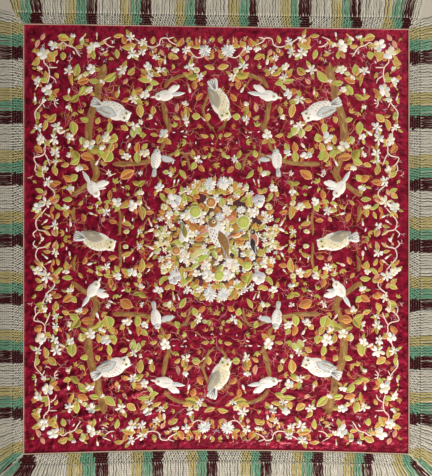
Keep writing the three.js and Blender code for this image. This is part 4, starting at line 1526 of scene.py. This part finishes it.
taken = occupied()
border_places = open_places(taken, BORDER_SIDE, BORDER_SIDE_GAP, PLACE_TRIES)
border_places += open_places(taken, BORDER_END, BORDER_END_GAP, PLACE_TRIES)
field_places = open_places(taken, FIELD_ZONE, FIELD_GAP, PLACE_TRIES)
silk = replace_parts(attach(silk_panel(), "root"), "silk_panel")
embroidery = [
    stitched("embroidered_tendrils", (stitch_tendrils,)),
    stitched("embroidered_boughs", (stitch_boughs,)),
    stitched("embroidered_leaves", (stitch_leaves, FIELD_LEAVES + leaves_under(FIELD_BLOOMS))),
    stitched("embroidered_blossoms", (stitch_blooms, FIELD_BLOOMS)),
    stitched("embroidered_filling", (stitch_small, field_places, TENDRIL_SILKS, FIELD_SPRAY_WIDTH)),
    stitched("embroidered_birds", (stitch_birds,)),
    stitched("embroidered_medallion", (stitch_medallion,)),
    stitched(
        "embroidered_border",
        (stitch_twigs,),
        (stitch_leaves, BORDER_LEAVES + leaves_under(BORDER_BLOOMS)),
        (stitch_blooms, BORDER_BLOOMS),
        (stitch_small, border_places, SPRAY_SILKS, BORDER_SPRAY_WIDTH),
    ),
]
trimmings = []
for edge in EDGES:
    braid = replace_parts(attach(edge_braid(edge), "root"), f"edge_braid_{edge.name}")
    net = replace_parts(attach(fringe_net(edge), "root"), f"fringe_{edge.name}")
    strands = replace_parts(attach(fringe_strands(edge), "root"), f"fringe_{edge.name}")
    trimmings += [braid, net, strands]

# Floor, light and camera

FLOOR_SIZE = 14.0
floor_mesh = bpy.data.meshes.new("floor")
half = FLOOR_SIZE / 2
floor_corners = [(-half, -half, 0), (half, -half, 0), (half, half, 0), (-half, half, 0)]
floor_mesh.from_pydata(floor_corners, [], [(0, 1, 2, 3)])
floor_mesh.materials.append(materials["pale matt floor"])
new_piece("floor", floor_mesh)


def soft_light(name, place, target, size, power, colour="#ffffff"):
    lamp = bpy.data.lights.new(name, "AREA")
    lamp.shape = "RECTANGLE"
    lamp.size, lamp.size_y = size
    lamp.energy = power
    lamp.color = linear(colour)[:3]
    made = bpy.data.objects.new(name, lamp)
    made.location = place
    aim = Vector(target) - Vector(place)
    made.rotation_euler = aim.to_track_quat("-Z", "Y").to_euler()
    bpy.context.scene.collection.objects.link(made)


soft_light("foot softbox", (2.2, -6.4, 2.8), (0.1, -0.2, 0), (2.6, 1.0), 690, "#fff6ee")
soft_light("sheen softbox", (0.4, -2.05, 3.2), (0.2, -0.9, 0), (3.4, 0.4), 28, "#fff6ee")
soft_light("head softbox", (0.4, 2.3, 3.2), (0.2, 0.9, 0), (3.4, 0.5), 28, "#fffaf2")
soft_light("side softbox", (3.6, 2.6, 3.2), (0.3, 0.6, 0), (1.6, 3.0), 90, "#fffaf2")
world = bpy.data.worlds.new("studio")
world.use_nodes = True
world.node_tree.nodes["Background"].inputs["Color"].default_value = linear("#e9ebee")
world.node_tree.nodes["Background"].inputs["Strength"].default_value = 0.1
bpy.context.scene.world = world
bpy.context.scene.view_settings.view_transform = "Standard"

# The photograph shows the spread from straight above, 432 by 476 pixels at 5.6 mm to a pixel
IMAGE_WIDTH, IMAGE_HEIGHT = 432, 476
MM_PER_PIXEL = 5.6
PANEL_MIDDLE_PIXEL = (216.3, 239.0)
CAMERA_HEIGHT = 4.5
camera_data = bpy.data.cameras.new("camera")
camera_data.sensor_fit = "VERTICAL"
view_height = IMAGE_HEIGHT * MM_PER_PIXEL * MM
camera_data.angle_y = 2 * math.atan(view_height / 2 / CAMERA_HEIGHT)
camera = bpy.data.objects.new("camera", camera_data)
camera.location = (
    PANEL_MIDDLE[0] + (IMAGE_WIDTH / 2 - PANEL_MIDDLE_PIXEL[0]) * MM_PER_PIXEL * MM,
    PANEL_MIDDLE[1] + (PANEL_MIDDLE_PIXEL[1] - IMAGE_HEIGHT / 2) * MM_PER_PIXEL * MM,
    CAMERA_HEIGHT,
)
bpy.context.scene.collection.objects.link(camera)
bpy.context.scene.camera = camera
